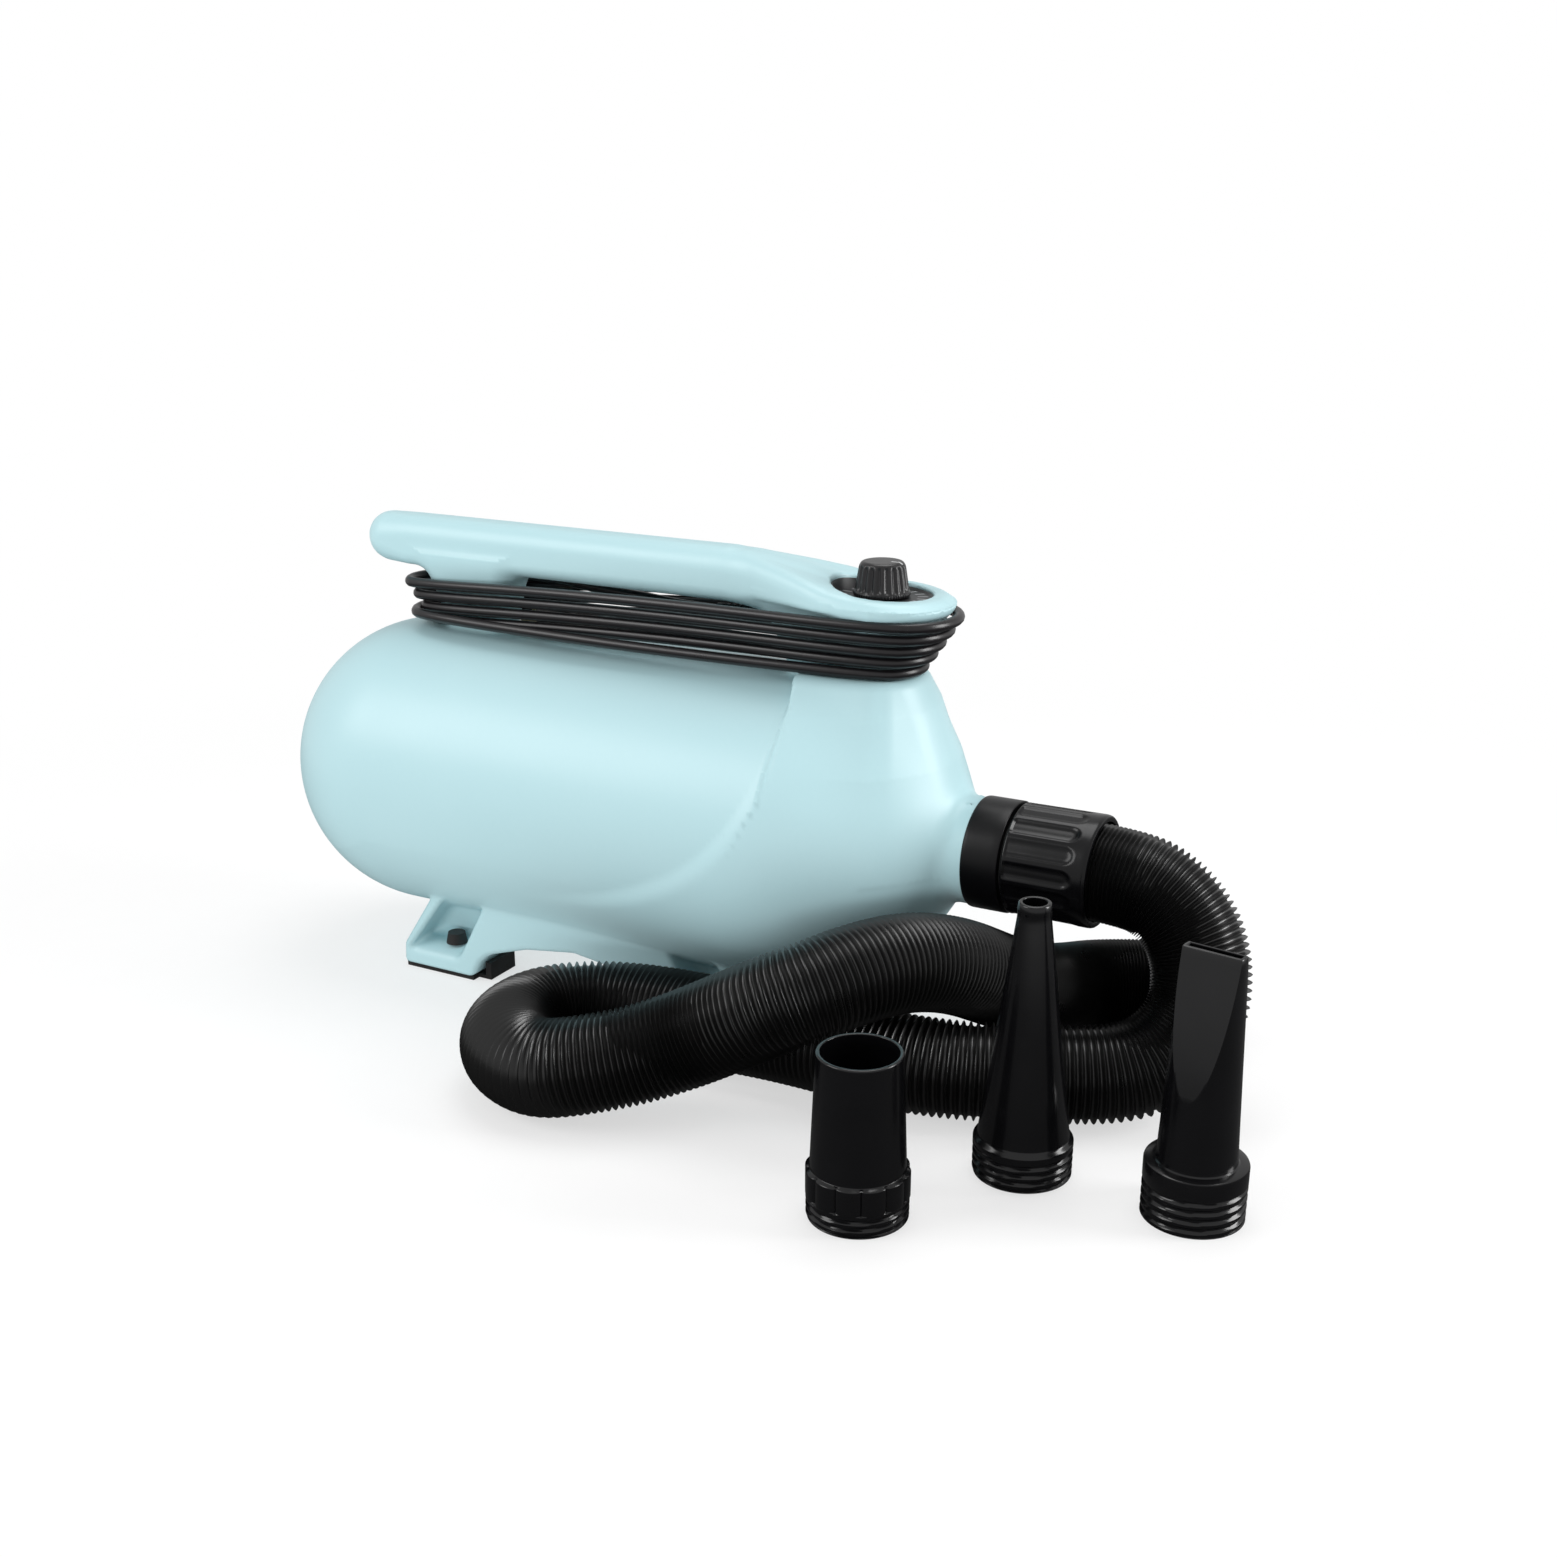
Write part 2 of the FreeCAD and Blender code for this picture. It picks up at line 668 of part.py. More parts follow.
def filter_cover():
    """Domed cap, flush with the back of the tank, with rows of air slots."""
    outer = tank_form(0).common(rod_x(tank_back_x - tank_radius - 5, filter_seat_x - cover_gap, cover_radius))
    hollow = tank_form(2.6).common(rod_x(tank_back_x - tank_radius - 5, filter_seat_x + 5, cover_radius - 3))
    cap = outer.cut(hollow)
    slots = []
    for row in range(-4, 5):
        z = axis_height + row * 8.0
        half = math.sqrt((cover_radius - 9) ** 2 - (row * 8.0) ** 2)
        slots.append(box(tank_back_x - tank_radius - 5, filter_seat_x + 5, -half, half, z - 1.6, z + 1.6))
    return cap.cut(slots)


def foam_filter():
    return rod_x(filter_seat_x + 0.1, filter_seat_x + filter_thickness - 0.1, filter_radius)


# Blower and motor, from the inlet side forward

fan_front_x = fan_back_x + fan_length


def fan_case():
    """Deep cup over the two impellers with the air inlet in its floor."""
    cup = rod_x(fan_back_x, fan_front_x - 3, fan_radius)
    cup = cup.cut(rod_x(fan_back_x + 2, fan_front_x, fan_radius - 2))
    return cup.cut(rod_x(fan_back_x - 1, fan_back_x + 3, inlet_radius))


def motor_screw_places():
    """Screw axes as (y, z), one at the end of each of the bracket's four bars."""
    places = []
    for turn in (0, 90, 180, 270):
        a = math.radians(turn)
        places.append((motor_screw_place * math.cos(a), axis_height + motor_screw_place * math.sin(a)))
    return places


def motor_screw_holes(x0, x1):
    return [rod_x(x0, x1, motor_screw_radius + shaft_fit, y, z) for y, z in motor_screw_places()]


def fan_end_plate():
    """Plate that closes the fan case and passes the air on round the motor."""
    plate = rod_x(fan_front_x - 3, fan_front_x, fan_radius)
    plate = plate.fuse(rod_x(fan_front_x - 3, fan_front_x + bearing_width, bearing_radius + 4))
    holes = [rod_x(fan_front_x - 4, fan_front_x + bearing_width + 1, bearing_radius)]
    for k in range(12):
        turn = math.radians(30 * k + 15)
        y, z = 52 * math.cos(turn), 52 * math.sin(turn)
        holes.append(rod_x(fan_front_x - 4, fan_front_x + 1, 7, y, axis_height + z))
    return plate.cut(holes + motor_screw_holes(fan_front_x - 4, fan_front_x + 1))


def diffuser():
    """Fixed disc with return vanes between the two impellers."""
    x0 = diffuser_x
    disc = rod_x(x0, x0 + 2, fan_radius - 2 - 0.1).cut(rod_x(x0 - 1, x0 + 3, shaft_radius + 8))
    vanes = []
    for k in range(9):
        vane = box(x0 + 1.5, x0 + 8, -1, 1, 22, 58)
        vane.rotate(Vec(x0, 0, 0), Vec(1, 0, 0), 40 * k)
        vane.translate(Vec(0, 0, axis_height))
        vanes.append(vane)
    return join([disc] + vanes)


def impeller(x0):
    """Closed centrifugal impeller: two discs with curved blades between them."""
    back = ring_x(x0 + impeller_width - 1.5, x0 + impeller_width, impeller_radius, shaft_radius + shaft_fit)
    front = ring_x(x0, x0 + 1.5, impeller_radius, inlet_radius - 6)
    hub = ring_x(x0 + 4, x0 + impeller_width, shaft_radius + 6, shaft_radius + shaft_fit)
    blades = []
    for k in range(8):
        bend = Part.Arc(Vec(x0 + 1, 9, 0), Vec(x0 + 1, 34, 12), Vec(x0 + 1, 58, 0)).toShape()
        low = Part.Arc(Vec(x0 + 1, 58, 1.4), Vec(x0 + 1, 34, 13.4), Vec(x0 + 1, 9, 1.4)).toShape()
        ends = [Part.LineSegment(Vec(x0 + 1, 58, 0), Vec(x0 + 1, 58, 1.4)).toShape(),
                Part.LineSegment(Vec(x0 + 1, 9, 1.4), Vec(x0 + 1, 9, 0)).toShape()]
        blade = Part.Face(Part.Wire([bend, ends[0], low, ends[1]])).extrude(Vec(12.5, 0, 0))
        blade.rotate(Vec(0, 0, 0), Vec(1, 0, 0), 45 * k)
        blade.translate(Vec(0, 0, axis_height))
        blades.append(blade)
    return join([back, front, hub] + blades)


def impeller_spacer():
    """Sleeve between the hubs of the two impellers."""
    return ring_x(first_impeller_x + impeller_width, second_impeller_x + 4, shaft_radius + 4,
                  shaft_radius + shaft_fit)


def rotor_shaft():
    return rod_x(fan_back_x + 7, motor_front_x + 3, shaft_radius)


def armature():
    """Slotted iron core with its windings bulging at both ends."""
    core = ring_x(field_x0, field_x1, armature_radius, shaft_radius + shaft_fit)
    slots = []
    for k in range(12):
        turn = math.radians(30 * k)
        y, z = armature_radius * math.cos(turn), armature_radius * math.sin(turn)
        slots.append(rod_x(field_x0 - 1, field_x1 + 1, 1.6, y, axis_height + z))
    back_end = Part.makeCone(14, 21, 9, Vec(field_x0 - 9, 0, axis_height), Vec(1, 0, 0))
    front_end = Part.makeCone(21, 14, 8, Vec(field_x1, 0, axis_height), Vec(1, 0, 0))
    ends = back_end.fuse(front_end).cut(rod_x(field_x0 - 12, field_x1 + 12, shaft_radius + shaft_fit))
    return join([core.cut(slots), ends])


def commutator():
    x0 = field_x1 + 9
    drum = ring_x(x0, x0 + commutator_length, commutator_radius, shaft_radius + shaft_fit)
    slots = []
    for k in range(16):
        slot = box(x0 - 1, x0 + commutator_length + 1, -0.3, 0.3, commutator_radius - 1,
                   commutator_radius + 1)
        slot.rotate(Vec(0, 0, 0), Vec(1, 0, 0), 22.5 * k)
        slot.translate(Vec(0, 0, axis_height))
        slots.append(slot)
    return drum.cut(slots)


def field_core():
    """Laminated stator: a flattened ring with two poles round the armature."""
    core = rod_x(field_x0, field_x1, field_radius)
    flats = box(field_x0, field_x1, -field_radius, field_radius, axis_height - 36, axis_height + 36)
    core = core.common(flats)
    windows = []
    for side in (-1, 1):
        y0, y1 = sorted((side * 14, side * (field_radius - 8)))
        windows.append(box(field_x0 - 1, field_x1 + 1, y0, y1, axis_height - 20, axis_height + 20))
    return core.cut(windows + [rod_x(field_x0 - 1, field_x1 + 1, armature_radius + 0.5)])


def field_coils():
    """Two coils, above and below the armature, whose ends stand out of the core."""
    coils = []
    for side in (-1, 1):
        z0, z1 = sorted((axis_height + side * 17.5, axis_height + side * 27))
        outer = box(field_x0 - 8, field_x1 + 8, -34, 34, z0, z1)
        inner = box(field_x0 - 1.0, field_x1 + 1.0, -29, 29, z0 - 1, z1 + 1)
        ring = outer.cut(inner)
        clear = rod_x(field_x0 - 12, field_x1 + 12, armature_radius + 1)
        coils.append(ring.cut([clear, field_core()]))
    return Part.makeCompound(coils)


def motor_bracket():
    """Cage that carries the field core and the front bearing, bolted to the fan end plate."""
    x0, x1 = fan_front_x, motor_front_x
    hub = rod_x(x1 - bearing_width - 3, x1, bracket_hub_radius)
    half = bracket_bar_width / 2
    bars = []
    for turn in (0, 90, 180, 270):
        bar = box(x0, x1 - 7, -half, half, field_radius + 0.2, field_radius + 4)
        arm = box(x1 - 11, x1 - 7, -half, half, bearing_radius + 1, field_radius + 4)
        tab = box(x0, x0 + tab_thickness, -half, half, field_radius + 0.2, motor_screw_place + 5)
        for piece in (bar, arm, tab):
            piece.rotate(Vec(0, 0, 0), Vec(1, 0, 0), turn)
            piece.translate(Vec(0, 0, axis_height))
            bars.append(piece)
    bore = rod_x(x1 - bearing_width - 4, x1 - 3, bearing_radius)
    holes = [bore, rod_x(x1 - 4, x1 + 1, shaft_radius + 1)]
    return join([hub] + bars).cut(holes + motor_screw_holes(x0 - 1, x0 + tab_thickness + 1))


def bearing(x0):
    """Ball bearing shown as its two rings joined by the balls' cage."""
    outer = ring_x(x0, x0 + bearing_width, bearing_radius, bearing_radius - 2.5)
    inner = ring_x(x0, x0 + bearing_width, shaft_radius + 2.5, shaft_radius + shaft_fit)
    cage = ring_x(x0 + 3, x0 + bearing_width - 3, bearing_radius - 2.5, shaft_radius + 2.5)
    return join([outer, inner, cage])


def brush_holders():
    """Two insulating boxes that point the brushes at the commutator, fixed to the bracket's bars."""
    holders = []
    x0, x1 = brush_x, brush_x + brush_width
    for side in (-1, 1):
        y0, y1 = sorted((side * (commutator_radius + 3), side * (field_radius + 0.2)))
        block = box(x0 - 2.5, x1 + 2.5, y0, y1, axis_height - 5.5, axis_height + holder_top)
        bore = box(x0 - 0.2, x1 + 0.2, min(y0, y1) - 5, max(y0, y1) + 5, axis_height - 3.2, axis_height + 3.2)
        holders.append(block.cut(bore))
    return Part.makeCompound(holders)


def carbon_brushes():
    brushes = []
    for side in (-1, 1):
        y0, y1 = sorted((side * (commutator_radius - 2), side * (commutator_radius + 20)))
        block = box(brush_x, brush_x + brush_width, y0, y1, axis_height - 3, axis_height + 3)
        brushes.append(block.cut(rod_x(brush_x - 1, brush_x + brush_width + 1, commutator_radius + free_gap)))
    return Part.makeCompound(brushes)


def motor_screws():
    """Four screws that hold the bracket's bars to the fan end plate."""
    screws = []
    seat_x = fan_front_x + tab_thickness
    for y, z in motor_screw_places():
        shank = rod_x(fan_front_x - 2.6, seat_x, motor_screw_radius, y, z)
        head = rod_x(seat_x, seat_x + 2.4, 2 * motor_screw_radius, y, z)
        screws.append(shank.fuse(head))
    return Part.makeCompound(screws)


def rear_motor_gasket():
    """Rubber ring that seals the fan case against the bulkhead."""
    return ring_x(fan_back_x - 3.0, fan_back_x, fan_radius - 3, fan_radius - 13)


def front_motor_mount():
    """Rubber ring between the spider's hub and the motor bracket."""
    return ring_x(motor_front_x - 6, motor_front_x, mount_radius - shaft_fit, bracket_hub_radius + shaft_fit)


def sound_foam():
    """Foam lining on the inside of the tank beside the blower."""
    return ring_x(tank_back_x + 1, motor_front_x - 12, tank_radius - wall - free_gap, tank_radius - wall - 13)


# Speed control under the knob

def dial_plate():
    plate = dial_oval(dial_long - fit_gap, dial_short - fit_gap, -plate_thickness, 0)
    return on_dial(plate.cut(Part.makeCylinder(bushing_radius + fit_gap, 10, Vec(0, 0, -5))))


def potentiometer():
    body = Part.makeCylinder(pot_radius, 10, Vec(0, 0, -plate_thickness - 10))
    bushing = Part.makeCylinder(bushing_radius, plate_thickness + 4, Vec(0, 0, -plate_thickness))
    bore = Part.makeCylinder(pot_shaft_radius + shaft_fit, 30, Vec(0, 0, -plate_thickness - 8.1))
    return on_dial(body.fuse(bushing).cut(bore))


def potentiometer_nut():
    corners = [Vec(6.2 * math.cos(math.radians(60 * k)), 6.2 * math.sin(math.radians(60 * k)), 0)
               for k in range(7)]
    block = Part.Face(Part.makePolygon(corners)).extrude(Vec(0, 0, 2.4))
    return on_dial(block.cut(Part.makeCylinder(bushing_radius + shaft_fit, 4, Vec(0, 0, -1))))


def potentiometer_shaft():
    length = 8 + plate_thickness + 16
    return on_dial(Part.makeCylinder(pot_shaft_radius, length, Vec(0, 0, -plate_thickness - 8)))


def speed_knob():
    """Tapered knob with upright flutes, a plain skirt and a pointer groove on its top."""
    top = knob_height
    profile = [(0, 1), (knob_radius + 0.4, 1), (knob_radius + 0.4, 2.6), (knob_radius - 0.3, 4.2),
               (knob_top_radius + 0.2, top - 2.2), (knob_top_radius - 2.0, top), (0, top)]
    body = turn_z(profile, (0, 0))
    cuts = [Part.makeCylinder(8.5, 6, Vec(0, 0, 0)),
            Part.makeCylinder(pot_shaft_radius, 20, Vec(0, 0, -4 + plate_thickness))]
    lean = math.degrees(math.atan((knob_radius - knob_top_radius) / (knob_height - 6)))
    for k in range(knob_flutes):
        flute = Part.makeCylinder(1.0, knob_height, Vec(0, 0, 0))
        flute.rotate(Vec(0, 0, 0), Vec(0, 1, 0), -lean)
        flute.translate(Vec(knob_radius + 0.35, 0, 4.4))
        flute.rotate(Vec(0, 0, 0), Vec(0, 0, 1), 360 * k / knob_flutes)
        cuts.append(flute)
    cuts.append(box(4, knob_radius, -0.7, 0.7, knob_height - 0.8, knob_height + 1))
    return on_dial(body.cut(cuts))


board_top_z = dial_z - plate_thickness - 10
board_bottom_z = board_top_z - 1.6


def control_board():
    return box(board_back_x, board_front_x, -board_half_width, board_half_width, board_bottom_z, board_top_z)


def heat_sink():
    x0, x1 = sink_back_x, sink_front_x
    base = box(x0, x1, -sink_half_width, sink_half_width, board_bottom_z - 3, board_bottom_z)
    z0, z1 = board_bottom_z - 15, board_bottom_z - 3
    return join([base] + [box(x0, x1, y - 0.8, y + 0.8, z0, z1) for y in (-12, -6, 0, 6, 12)])


def board_capacitor():
    return box(capacitor_back_x, capacitor_front_x, -7, 7, board_bottom_z - 13, board_bottom_z)


def motor_leads():
    """Two insulated leads from the board down through the column to the brushes."""
    leads = []
    for side in (-1, 1):
        points = [Vec(lead_x, side * lead_y, board_bottom_z), Vec(lead_x, side * lead_y, ledge_z + 7)]
        points += [Vec(x, side * y, axis_height + rise) for x, y, rise in lead_points]
        last = points[-1]
        leads.append(tube(points + [Vec(last.x, last.y, axis_height + holder_top)], lead_radius))
    return Part.makeCompound(leads)


def mains_lead():
    """Sheathed end of the mains cord inside the column, from the gland to the board."""
    end_x, end_y = board_back_x + 3, 3
    points = [Vec(relief_inner_x, 0, relief_z), Vec(end_x - 11, 0, relief_z),
              Vec(end_x - 5, end_y / 2, relief_z - 2.5), Vec(end_x, end_y, relief_z - 1.5),
              Vec(end_x, end_y, board_bottom_z)]
    return tube(points, 2.0)


# Mains cord, its gland and its plug

relief_inner_x = column_back_x + 15.0
relief_end_x = column_back_x + 6.0 - relief_length


def strain_relief():
    """Tapered ribbed sleeve that leaves the column's back under the grip."""
    x1 = relief_inner_x - 4
    sleeve = Part.makeCone(cord_radius + 1.0, relief_radius, x1 - relief_end_x,
                           Vec(relief_end_x, 0, relief_z), Vec(1, 0, 0))
    grooves = [ring_x(x, x + 1.6, relief_radius + 2, cord_radius + 0.9, 0, relief_z)
               for x in [relief_end_x + 5 + 4.0 * k for k in range(7)]]
    sleeve = sleeve.cut(grooves).cut(column_form(0))
    neck = rod_x(column_back_x + 1, relief_inner_x, relief_neck_radius, 0, relief_z)
    flange = rod_x(relief_inner_x - 1.5, relief_inner_x, relief_neck_radius + 1.8, 0, relief_z)
    return join([sleeve, neck, flange])


def half_turn(center_x, radius, z, way):
    """Corners of an eight-sided half turn, with way -1 from +Y to -Y round the back, with 1 back again."""
    t = math.tan(math.radians(22.5))
    corners = [(t, 1.0), (1.0, t), (1.0, -t), (t, -1.0)][::-way]
    return [Vec(center_x + way * along * radius, across * radius, z) for along, across in corners]


def winding_points():
    """Cord route: out of the gland, five turns round the post and the column, and back to the plug."""
    stand_off = cord_radius + cord_clearance
    points = [Vec(relief_end_x, 0, relief_z)] + [Vec(x, y, ledge_z + rise) for x, y, rise in cord_start]
    for turn in range(cord_turns):
        rise, outward = back_levels[turn]
        back_z = ledge_z + rise
        share = (handle_bottom_z + wall - back_z) / (handle_bottom_z + wall - post_foot_z)
        back_face = post_back_x + post_back_draft * share - outward - lean_clearance
        back_radius = post_half_width - 2.5 * share + stand_off + outward
        center = back_face - stand_off + back_radius
        points += half_turn(center, back_radius, back_z, -1)
        front_z = ledge_z + front_levels[turn]
        share = (platform_bottom_z + wall - front_z) / (platform_bottom_z + 2 * wall - ledge_z)
        front_face = column_front_x - column_draft_front * share + front_slack
        front_radius = column_half_width - column_draft_side * share + stand_off + lean_clearance
        front_center = front_face + stand_off - front_radius
        for f, climb in ((0.3, near_rise[0]), (0.64, near_rise[1])):
            x = center + (front_center - center) * f
            y = back_radius + (front_radius - back_radius) * f + near_bulge[turn] * math.sin(math.pi * f)
            points.append(Vec(x, -y, back_z + (front_z - back_z) * climb))
        points += half_turn(front_center, front_radius, front_z, 1)
        if turn + 1 < cord_turns:
            next_rise, next_out = back_levels[turn + 1]
            far_y = post_half_width + stand_off + next_out - 1
            drop = ledge_z + next_rise - front_z
            for f in (0.36, 0.7):
                x = front_center + (center - front_center) * f
                y = front_radius + (far_y - front_radius) * f + far_bulge[turn] * math.sin(math.pi * f)
                points.append(Vec(x, y, front_z + drop * f ** far_drop[turn]))
    return points + [Vec(x, y, ledge_z + rise) for x, y, rise in cord_tail]


def least_self_gap(edges, radius, step=3.0, skip=40.0):
    """Least gap between stretches of the cord that are further apart along it than the skip length."""
    total = sum(edge.Length for edge in edges)
    placed, _ = points_along(edges, int(total / step))
    spots = [point for point, _ in placed]
    least = 1e9
    leap = int(skip / step)
    for i, a in enumerate(spots):
        for b in spots[i + leap:]:
            if abs(a.x - b.x) < 12 and abs(a.z - b.z) < 12:
                least = min(least, (a - b).Length)
    return least - 2 * radius


def power_cord():
    points = winding_points()
    edges, _ = route_arcs(points)
    print(f"power_cord: least gap to itself {least_self_gap(edges, cord_radius):.2f}")
    return tube(points, cord_radius, "power_cord")


def plug_body():
    """Moulded grounded plug with a tapered grip, its face towards the rear post."""
    x0, x1 = plug_face_x, cord_tail[-1][0]
    z = ledge_z + cord_tail[-1][2]
    sections = []
    for x, width, height in ((x0, 12.5, 9.0), (x0 + 12, 12.5, 9.0), (x0 + 20, 8.5, 7.0), (x1, 5.0, 4.6)):
        outline = [Vec(x, -width, z - height), Vec(x, width, z - height), Vec(x, width, z + height),
                   Vec(x, -width, z + height)]
        sections.append(rounded_wire(outline, [4.0] * 4))
    return Part.makeLoft(sections, True, True)


def plug_blades():
    z = ledge_z + cord_tail[-1][2]
    blades = [box(plug_face_x - 16, plug_face_x, y - 0.75, y + 0.75, z - 2, z + 4.3) for y in (-6.35, 6.35)]
    blades.append(rod_x(plug_face_x - 18, plug_face_x, 2.35, 0, z - 5.2))
    return Part.makeCompound(blades)


# Outlet adapter, coupling, hose and cuff

def outlet_adapter():
    """Smooth black ring on the spigot, with a sleeve inside it and a threaded end for the coupling."""
    ring = ring_x(spigot_end_x + 0.2, adapter_end_x, adapter_radius, hose_bore_radius)
    sleeve = ring_x(spigot_end_x - 16, spigot_end_x + 1, spigot_radius - wall - fit_gap, hose_bore_radius)
    thread = ring_x(adapter_end_x - 1, thread_end_x, thread_radius - 1, hose_bore_radius)
    ridge_starts = [adapter_end_x + 2 + 3.5 * k for k in range(3)]
    ridges = [ring_x(x, x + 1.4, thread_radius, thread_radius - 1.5) for x in ridge_starts]
    lip = ring_x(spigot_end_x - 6, spigot_end_x + 0.2, adapter_radius, spigot_radius + fit_gap)
    return join([ring, sleeve, thread, lip] + ridges)


def outlet_seal():
    """Round rubber ring between the adapter's shoulder and the coupling."""
    return ring_x(adapter_end_x, adapter_end_x + 1.6, thread_radius + 1.6, thread_radius - 1 + fit_gap)


def hose_coupling():
    """Grip sleeve with flats all round that turns on the adapter's thread and on the hose."""
    x0 = adapter_end_x + 1.6 + free_gap
    x1 = coupling_end_x - coupling_tail
    grip = rod_x(x0, x1, coupling_radius)
    flats = []
    half = math.pi * coupling_radius / coupling_flats * 0.68
    for k in range(coupling_flats):
        flat = box(x0 + 3, x1 - 5, -half, half, coupling_radius - 1.3, coupling_radius + 2)
        flat.rotate(Vec(0, 0, 0), Vec(1, 0, 0), 360 * k / coupling_flats)
        flat.translate(Vec(0, 0, axis_height))
        flats.append(flat)
    tail = Part.makeCone(coupling_radius, coupling_radius - 1.5, coupling_tail, Vec(x1, 0, axis_height),
                         Vec(1, 0, 0))
    bore = [rod_x(x0 - 1, thread_end_x + free_gap, thread_radius + free_gap),
            rod_x(thread_end_x - 1, coupling_end_x + 1, hose_radius + free_gap)]
    return grip.cut(flats).fuse(tail).cut(bore)


def hose():
    """Ribbed hose with its bore, from the adapter to the cuff, made of short cones between circles."""
    edges, radii = route_arcs([Vec(*place) for place in hose_points])
    placed, total = points_along(edges, 4 * hose_ribs + 1)
    circles = []
    for k, (at, along) in enumerate(placed):
        radius = hose_radius if k % 4 in (1, 2) else hose_root_radius
        circles.append(Part.Wire(Part.makeCircle(radius, at, along)))
    outside = Part.makeLoft(circles, False, True)
    bore_circle = Part.Wire(Part.makeCircle(hose_bore_radius, *placed[0]))
    bore = Part.Wire(edges).makePipeShell([bore_circle], False, False)
    faces = outside.Faces + bore.Faces
    for at, along in (placed[0], placed[-1]):
        disc = Part.Face(Part.Wire(Part.makeCircle(hose_root_radius, at, along)))
        hole = Part.Face(Part.Wire(Part.makeCircle(hose_bore_radius, at, along)))
        faces += disc.cut(hole).Faces
    shell = Part.makeShell(faces)
    shell.sewShape()
    print(f"hose: length {total:.1f}, least bend radius {min(radii):.1f}")
    return Part.makeSolid(shell)


def hose_end_cuff():
    """Smooth cuff at the hose's free end, bored for the nozzles' threads."""
    last, before = Vec(*hose_points[-1]), Vec(*hose_points[-2])
    along = (last - before).normalize()
    back = last - along * 14
    outer = Part.makeCylinder(cuff_radius, cuff_length, back, along)
    lip = Part.makeCylinder(cuff_radius + 1.0, 4, back, along)
    hose_bore = Part.makeCylinder(hose_radius + fit_gap, 14, back, along)
    thread_bore = Part.makeCylinder(nozzle_thread_radius + free_gap, cuff_length, last, along)
    stop = Part.makeCylinder(hose_bore_radius + 1, cuff_length, back, along)
    stop_wall = Part.makeCylinder(cuff_radius - 1, 2.0, last, along)
    body = outer.fuse(lip).cut([hose_bore, thread_bore]).fuse(stop_wall)
    return body.cut(stop)


# Nozzles

def thread_outline(top, rings):
    """Outer side of a nozzle's threaded foot, from the floor up, as (radius, z) points."""
    outline = [(nozzle_thread_radius - 1.6, 0)]
    pitch = top / rings
    for k in range(rings):
        z = k * pitch
        outline += [(nozzle_thread_radius - 1.2, z + 0.25 * pitch), (nozzle_thread_radius, z + 0.45 * pitch),
                    (nozzle_thread_radius, z + 0.75 * pitch), (nozzle_thread_radius - 1.2, z + 0.95 * pitch)]
    return outline


def nozzle_short():
    """Wide short nozzle with a notched grip band over its thread."""
    outer = thread_outline(12, 3) + [
        (nozzle_thread_radius, 12.2), (nozzle_thread_radius + 0.4, 13), (nozzle_thread_radius + 0.4, 26),
        (nozzle_thread_radius - 0.8, 28), (short_mouth_radius, short_nozzle_height)]
    inner = [(short_mouth_radius - nozzle_wall, short_nozzle_height), (nozzle_bore_radius + 0.6, 28),
             (nozzle_bore_radius, 0)]
    body = turn_z(outer + inner, short_nozzle_place)
    notches = []
    x, y = short_nozzle_place
    for k in range(12):
        notch = box(nozzle_thread_radius - 0.6, nozzle_thread_radius + 2, -0.9, 0.9, 14.5, 24.5)
        notch.rotate(Vec(0, 0, 0), Vec(0, 0, 1), 30 * k + 8)
        notch.translate(Vec(x, y, 0))
        notches.append(notch)
    return body.cut(notches)


def nozzle_cone():
    """Long cone nozzle with a small round tip."""
    outer = thread_outline(17, 4) + [
        (nozzle_thread_radius, 17.4), (nozzle_thread_radius, 19.5), (nozzle_thread_radius - 2.2, 22),
        (cone_tip_radius + 0.2, cone_nozzle_height - 6), (cone_tip_radius + 0.5, cone_nozzle_height - 3),
        (cone_tip_radius - 0.4, cone_nozzle_height)]
    inner = [(cone_tip_radius - nozzle_wall, cone_nozzle_height), (nozzle_bore_radius, 20),
             (nozzle_bore_radius, 0)]
    return turn_z(outer + inner, cone_nozzle_place)


def flat_wedge(inset):
    """Upper part of the flat nozzle: a round tube pared to a slit by two sloping cuts."""
    x, y = flat_nozzle_place
    radius = flat_tube_radius - inset
    foot_z, top_z = 30 - inset, flat_nozzle_height + (1 if inset else 0)
    tube_body = Part.makeCone(radius, flat_top_radius - inset, top_z - foot_z, Vec(x, y, foot_z))
    low, high = 60.0, flat_nozzle_height
    half = flat_mouth_width / 2 - inset * 0.6
    cuts = []
    for side in (-1, 1):
        far = side * (radius + 5)
        slope = (radius + 0.5 - half) / (high - low)
        points = [Vec(x - 40, y + side * (radius + 0.5), low), Vec(x - 40, y + side * half, high),
                  Vec(x - 40, y + side * (half - slope * 5), high + 5), Vec(x - 40, y + far, high + 5),
                  Vec(x - 40, y + far, low)]
        cuts.append(Part.Face(Part.makePolygon(points + [points[0]])).extrude(Vec(80, 0, 0)))
    return tube_body.cut(cuts)


def nozzle_flat():
    """Crevice nozzle: round tube below, flat slit mouth above."""
    outer = thread_outline(20, 4) + [(nozzle_thread_radius, 20.4), (nozzle_thread_radius, 30.5),
                                     (flat_tube_radius + 1.0, 31.5), (0, 31.5), (0, 0)]
    x, y = flat_nozzle_place
    body = join([turn_z(outer, flat_nozzle_place), flat_wedge(0)])
    body = body.cut([flat_wedge(nozzle_wall), rod_z(x, y, -1, 31, flat_tube_radius - nozzle_wall)])
    body.rotate(Vec(x, y, 0), Vec(0, 0, 1), flat_nozzle_turn)
    return body


# Whole dryer, one STEP file for each piece

